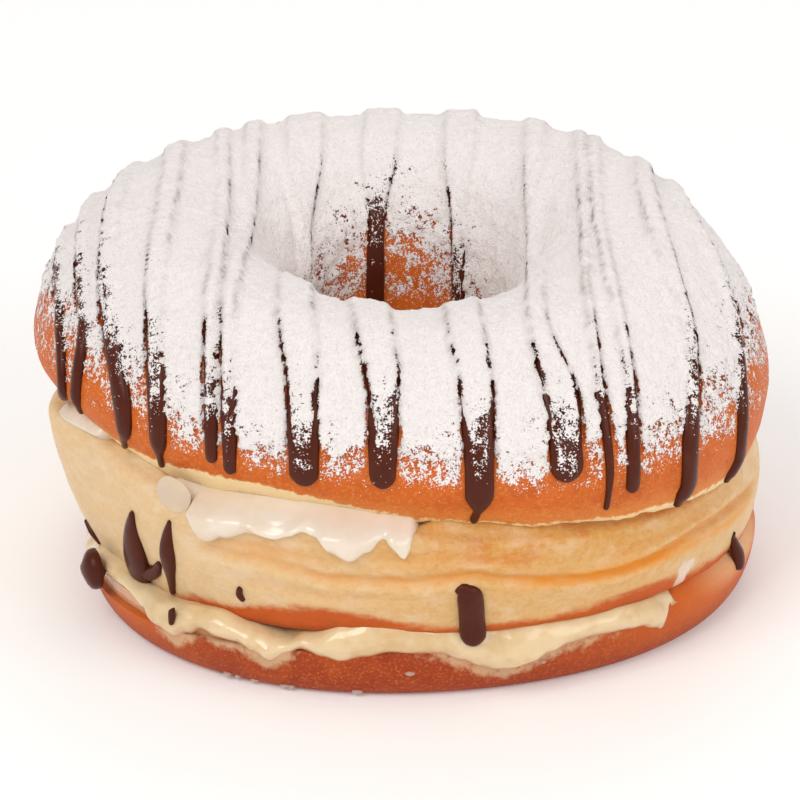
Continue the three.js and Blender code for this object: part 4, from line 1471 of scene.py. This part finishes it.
def cream_face(wall_at, line, tip, brow, reach, lumpiness, bluntness):
    """Face of a hanging cream from its tip up to its brow, and the way that it faces."""
    height = lerp(tip, brow, (1 - np.cos(np.linspace(0, math.pi, CREAM_ROWS)[None])) / 2)
    thinness = 1 - np.clip((height - tip) / CREAM_SWELL_HEIGHT, 0, 1)
    swell = np.clip(1 - thinness**2, 0, 1) ** (1 - bluntness)
    outside = wall_at(line, height)
    outward = unit(outside - ring_point(0, 0, line, np.zeros_like(height), height))
    lumps = lumpiness * roughness_at(outside, CREAM_LUMP_SIZE, 2) * hangs_at(reach)
    plump = lerp(*CREAM_PLUMPNESS, smoothstep(brow - tip, *CREAM_PLUMP_HEIGHTS))
    out = np.minimum(reach, size("cream_thickness") * plump) + lumps
    return outside + outward * lerp(-CREAM_TIP_SINK, out, swell)[..., None], outward[:, :1]


def cream_inside(line, roof, bed_at):
    """Hidden inside of a cream: rows in along its roof, a level, and out along its bed."""
    radii = np.array([[*CREAM_INSIDE_RADII, size("cream_inner_radius")]])
    back_out = radii[:, ::-1]
    return (
        ring_point(0, 0, line, radii, level(roof, line, radii) + CREAM_OVERLAP),
        ring_point(0, 0, line, back_out, bed_at(line, back_out) - CREAM_OVERLAP),
    )


def cream_back(wall_at, line, low, tip):
    """Wall behind a cream's hanging face, from its bed to its tip."""
    rows = np.linspace(0, 1, CREAM_BACK_ROWS)[None]
    return wall_at(line, lerp(low - CREAM_OVERLAP, tip + CREAM_TIP_RISE, rows))


class MESH_OT_doughnut_upper_cream(bpy.types.Operator):
    """Add the white cream under the top layer"""

    bl_idname = "mesh.doughnut_upper_cream"
    bl_label = "Upper cream"

    def scoop(self, angle, height):
        """How far the face stands out round a scoop of cream that is gone, below 0 in the hollow."""
        away = np.hypot(turn_between(angle, SCOOP_ANGLE) * SCOOP_DEGREE, height - SCOOP_HEIGHT)
        rim = SCOOP_RIM_HEIGHT * bell(away - SCOOP_RIM_RADIUS, SCOOP_RIM_WIDTH)
        return rim - (1 - smoothstep(away, *SCOOP_RADII))

    def execute(self, context):
        line = angles_round(UPPER_CREAM_SPACING)[:, None]
        reach = level(UPPER_REACH, line)
        low = middle_crown(line, RIM_RADIUS)
        high = level(TOP_CUT, line) + UPPER_TOP_OVERLAP
        tip = lerp(low + CREAM_TIP_RISE, swing(UPPER_CREAM_EDGE, line), hangs_at(reach))

        face, outward = cream_face(beside_middle, line, tip, high, reach, lumpiness=0.2, bluntness=0.5)
        face += outward * self.scoop(line, face[..., 2])[..., None]
        under = top_point(line, 0 * line) + outward * CREAM_OVERLAP
        drawn_in = np.clip((face[..., 2] - low + 1) / (high - low + 1), 0, 1)[..., None] ** UPPER_DRAW
        recess = UPPER_RECESS * (1 - smoothstep(reach, *UPPER_RECESS_REACHES))[..., None]
        face[..., :2] = (lerp(face, under, drawn_in) - outward * recess)[..., :2]
        inside = cream_inside(line, TOP_CUT, middle_crown)
        back = cream_back(beside_middle, line, low, tip) - outward * (recess + CREAM_WALL)
        cream = add_ring("upper_cream_skin", np.concatenate([face, *inside, back], axis=1))
        finish = cream_finish("white_cream", "white_cream", "white_cream_warm", feature=3, depth=0.2)
        finish_piece(cream, finish, "white_cream", "upper_cream")
        return {"FINISHED"}


class MESH_OT_doughnut_lower_cream(bpy.types.Operator):
    """Add the yellow cream over the bottom layer"""

    bl_idname = "mesh.doughnut_lower_cream"
    bl_label = "Lower cream"

    def execute(self, context):
        line = angles_round(LOWER_CREAM_SPACING)[:, None]
        reach = level(LOWER_REACH, line)
        hangs = hangs_at(reach)
        low = bottom_cut(line, RIM_RADIUS)
        tip = lerp(low + CREAM_TIP_RISE, swing(LOWER_CREAM_EDGE, line), hangs)
        brow = lerp(level(MIDDLE_BASE, line) + CREAM_OVERLAP, swing(LOWER_CREAM_BROW, line), hangs)

        drawn_back = np.minimum(reach, LOWER_RECESS_RATE * reach)
        face, outward = cream_face(bottom_point, line, tip, brow, drawn_back, lumpiness=0.45, bluntness=0)
        upper = np.clip(((face[..., 2] - tip) / (brow - tip) - CURL_START) / (1 - CURL_START), 0, 1)
        face -= outward * (CURL_DEPTH * (1 - np.sqrt(1 - upper**2)))[..., None]
        inside = cream_inside(line, MIDDLE_BASE, bottom_cut)
        back = cream_back(bottom_point, line, low, tip) - outward * CREAM_WALL
        points = np.concatenate([face, *inside, back], axis=1)
        thin_height = np.clip(THIN_SHARE * (brow - tip), *THIN_HEIGHTS)
        thin = 1 - smoothstep(points[..., 2] - tip, 0, thin_height)
        cream = add_ring("lower_cream_skin", points, thin=thin)
        finish = cream_finish("custard_cream", "custard", "custard_warm", feature=2.4, depth=0.25)
        finish_piece(cream, finish, "custard_cream", "lower_cream")
        return {"FINISHED"}


class MESH_OT_doughnut_bottom(bpy.types.Operator):
    """Add the dark bottom layer"""

    bl_idname = "mesh.doughnut_bottom"
    bl_label = "Bottom layer"

    def execute(self, context):
        line = angles_round(CRUST_SPACING)[:, None]
        shut = 1 - smoothstep(level(LOWER_REACH, line), *BOTTOM_CLOSES)
        closed = shut * (level(LOWER_FILLING, line) + BOTTOM_OVERLAP)
        rim = bottom_cut(line, RIM_RADIUS) + closed
        rise = (1 - np.cos(np.linspace(0, math.pi / 2, BOTTOM_ROWS)))[None]
        near_rim = np.clip((rise - BOTTOM_TUCK_START) / (1 - BOTTOM_TUCK_START), 0, 1)
        tuck = closed * near_rim**2 * BOTTOM_TUCK
        side = bottom_point(line, rim * rise) - tuck[..., None] * outward_at(line)

        inner = size("hole_radius")
        radii = np.array([[*BOTTOM_TOP_RADII, inner - HOLE_WAIST_INSET]])
        lift = closed * smoothstep(radii, *BOTTOM_LIFT_RADII)
        top = ring_point(0, 0, line, radii, bottom_cut(line, radii) + lift)
        hole = ring_point(0, 0, line, np.full_like(line, inner), bottom_cut(line, inner) / 2)
        floor_radii = np.array([[inner + BOTTOM_INSET / 2, *BOTTOM_FLOOR_RADII]])
        floor = ring_point(0, 0, line, floor_radii, np.zeros_like(floor_radii))
        points = np.concatenate([side, top, hole, floor], axis=1)

        height = points[..., 2]
        under_cream = bell(swing(LOWER_CREAM_EDGE, line) - height, SMEAR_HEIGHT)
        smear = bumps(WET_PATCHES, line) * under_cream * SMEAR_STRENGTH
        paler = bumps(PALE_SIDES, line) * smoothstep(height, *PALE_SIDE_HEIGHTS)
        paler += bumps(PALE_RIM, line) * smoothstep(height, *PALE_RIM_HEIGHTS)
        bottom = add_ring("bottom_crust", points, smear=smear, paler=paler)
        finish_piece(bottom, base_crust_finish(), "base_crust", "bottom_layer")
        return {"FINISHED"}


def on_middle(angle, height):
    """Point on the middle layer's side at a height."""
    return middle_point(angle, middle_share(angle, height))


def on_cream(angle, height):
    """Point on the face of the lower cream at a height."""
    return bottom_point(angle, height) + CREAM_DRIP_OUT * outward_at(angle)


def drip_ribbon(drip, surface, number):
    """Ribbon through a drip's stops, on a surface given as a function of angle and height."""
    stops = np.array(drip.stops)
    knots = np.linspace(0, 1, len(stops))
    along = np.sin(np.linspace(-math.pi / 2, math.pi / 2, DRIP_STEPS)) / 2 + 0.5
    angle, height, width = (np.interp(along, knots, stops[:, i]) for i in range(3))
    for values in (angle, width):
        for _ in range(DRIP_SMOOTHING):
            values[1:-1] = np.convolve(values, (0.25, 0.5, 0.25), "valid")
    points = surface(angle, height)
    normals = normals_of(surface, angle, height, small=0.05)
    ends = round_ends(travelled(points), width)
    heights = drip.thickness * np.sqrt(ends) * np.clip(width / width.max(), DRIP_LEAST_HEIGHT, 1)
    return add_ribbon(f"drip_{number}", points, normals, width * ends, heights, DRIP_SINK)


class MESH_OT_doughnut_drips(bpy.types.Operator):
    """Add the drips of chocolate on the sides"""

    bl_idname = "mesh.doughnut_drips"
    bl_label = "Chocolate drips"

    def execute(self, context):
        ribbons = [drip_ribbon(drip, on_middle, i) for i, drip in enumerate(MIDDLE_DRIPS)]
        ribbons += [drip_ribbon(drip, on_cream, i) for i, drip in enumerate(CREAM_DRIPS, len(ribbons))]
        drips = join(ribbons, "chocolate_drips")
        set_attribute(drips, "cover", np.full(len(drips.data.vertices), DRIP_COVER))
        finish_piece(drips, bpy.data.materials["chocolate"], "top_crust")
        return {"FINISHED"}


class MESH_OT_doughnut_dabs(bpy.types.Operator):
    """Add the round dabs of white cream on the side"""

    bl_idname = "mesh.doughnut_dabs"
    bl_label = "Cream dabs"

    def execute(self, context):
        spheres = []
        for angle, height, half_width, half_height, thickness in CREAM_DABS:
            deselect()
            bpy.ops.mesh.primitive_uv_sphere_add(segments=48, ring_count=24, radius=1)
            dab = context.object
            sphere = points_of(dab) * MM
            around = angle + np.degrees(sphere[:, 0] * half_width / RIM_RADIUS)
            upward = height + sphere[:, 2] * half_height
            outward = normals_of(beside_middle, around, upward, small=0.05)
            flat = -thickness * np.sign(sphere[:, 1:2]) * np.sqrt(np.abs(sphere[:, 1:2]))
            moved = beside_middle(around, upward) + outward * flat
            dab.data.vertices.foreach_set("co", (moved * MM).ravel())
            dab.data.update()
            spheres.append(dab)
        dabs = join(spheres, "cream_dabs")
        relief(dabs, "dimples", feature=2.5, depth=0.5)
        finish = Finish("thin_cream")
        floury = finish.speckle(3).between(0.35, 0.65)
        thin_cream = finish.surface({
            "Base Color": finish.mix(paint("white_cream_warm"), paint("dough_pale"), floury),
            "Roughness": 0.45,
            "Alpha": 0.8,
        })
        finish_piece(dabs, thin_cream, "white_cream")
        return {"FINISHED"}


class MESH_OT_doughnut_crumbs(bpy.types.Operator):
    """Add the wet crumbs of glaze along the base"""

    bl_idname = "mesh.doughnut_crumbs"
    bl_label = "Crumbs"

    def execute(self, context):
        draw = np.random.default_rng(CRUMB_SEED)
        spheres = []
        for angle, height, radius in CRUMBS:
            deselect()
            place = bottom_point(np.float64(angle), np.float64(height)) * MM
            bpy.ops.mesh.primitive_ico_sphere_add(subdivisions=2, radius=radius * MM, location=place)
            crumb = context.object
            crumb.scale = draw.uniform(*CRUMB_SIZES, 3) * np.array(CRUMB_SHAPE)
            bpy.ops.object.transform_apply(location=True, rotation=False, scale=True)
            spheres.append(crumb)
        crumbs = join(spheres, "glaze_crumbs")
        relief(crumbs, "crags", feature=0.7, depth=0.35)
        finish = Finish("wet_crumb")
        wet = finish.surface({"Base Color": paint("crumb"), "Roughness": 0.25, "Alpha": 0.6})
        finish_piece(crumbs, wet, "base_crust")
        return {"FINISHED"}


class SCENE_OT_doughnut_stage(bpy.types.Operator):
    """Add the floor, the soft lights and the camera"""

    bl_idname = "scene.doughnut_stage"
    bl_label = "Stage"

    def execute(self, context):
        scene = context.scene
        deselect()
        bpy.ops.mesh.primitive_plane_add(size=FLOOR_SIZE)
        floor = context.object
        floor.name = "floor"
        finish = Finish("floor")
        floor.data.materials.append(finish.surface({
            "Base Color": paint("floor"),
            "Roughness": 0.9,
            "Emission Color": (1, 1, 1, 1),
            "Emission Strength": FLOOR_GLOW,
        }))

        world = bpy.data.worlds.new("studio")
        world.use_nodes = True
        background = world.node_tree.nodes["Background"]
        background.inputs["Color"].default_value = WORLD_COLOUR
        background.inputs["Strength"].default_value = WORLD_STRENGTH
        scene.world = world

        target = Vector((*RING_CENTRE, LOOK_AT_HEIGHT)) * MM
        for name, place, width, power in LIGHTS:
            light = bpy.data.lights.new(name, "AREA")
            light.size = width
            light.energy = power
            holder = bpy.data.objects.new(name, light)
            holder.location = place
            holder.rotation_euler = (target - Vector(place)).to_track_quat("-Z", "Y").to_euler()
            scene.collection.objects.link(holder)

        elevation = math.radians(CAMERA_ELEVATION)
        away = Vector((0, -math.cos(elevation), math.sin(elevation)))
        camera = bpy.data.objects.new("camera", bpy.data.cameras.new("camera"))
        camera.data.sensor_width = CAMERA_SENSOR
        camera.data.lens = CAMERA_LENS
        camera.location = target + CAMERA_DISTANCE * away
        camera.rotation_euler = (math.pi / 2 - elevation, 0, 0)
        scene.collection.objects.link(camera)
        scene.camera = camera
        scene.view_settings.view_transform = "Standard"
        return {"FINISHED"}


class VIEW3D_PT_doughnut(bpy.types.Panel):
    """Sidebar list of the doughnut's pieces"""

    bl_label = "Filled ring doughnut"
    bl_space_type = "VIEW_3D"
    bl_region_type = "UI"
    bl_category = "Doughnut"

    def draw(self, context):
        for operator in OPERATORS:
            self.layout.operator(operator.bl_idname)
        for group in (context.scene.doughnut_sizes, context.scene.doughnut_colours):
            for name in group.bl_rna.properties.keys():
                if name not in {"rna_type", "name"}:
                    self.layout.prop(group, name)


OPERATORS = (
    MESH_OT_doughnut_bottom,
    MESH_OT_doughnut_lower_cream,
    MESH_OT_doughnut_middle,
    MESH_OT_doughnut_upper_cream,
    MESH_OT_doughnut_top,
    MESH_OT_doughnut_stripes,
    MESH_OT_doughnut_drips,
    MESH_OT_doughnut_dabs,
    MESH_OT_doughnut_sugar,
    MESH_OT_doughnut_grains,
    MESH_OT_doughnut_crumbs,
    SCENE_OT_doughnut_stage,
)
CLASSES = (DoughnutSizes, DoughnutColours, *OPERATORS, VIEW3D_PT_doughnut)


def register():
    for item in CLASSES:
        bpy.utils.register_class(item)
    bpy.types.Scene.doughnut_sizes = PointerProperty(type=DoughnutSizes)
    bpy.types.Scene.doughnut_colours = PointerProperty(type=DoughnutColours)


def unregister():
    del bpy.types.Scene.doughnut_colours
    del bpy.types.Scene.doughnut_sizes
    for item in reversed(CLASSES):
        bpy.utils.unregister_class(item)


def main():
    register()
    bpy.ops.mesh.doughnut_bottom()
    bpy.ops.mesh.doughnut_lower_cream()
    bpy.ops.mesh.doughnut_middle()
    bpy.ops.mesh.doughnut_upper_cream()
    bpy.ops.mesh.doughnut_top()
    bpy.ops.mesh.doughnut_stripes()
    bpy.ops.mesh.doughnut_drips()
    bpy.ops.mesh.doughnut_dabs()
    bpy.ops.mesh.doughnut_sugar()
    bpy.ops.mesh.doughnut_grains()
    bpy.ops.mesh.doughnut_crumbs()
    bpy.ops.scene.doughnut_stage()


if __name__ == "__main__":
    main()
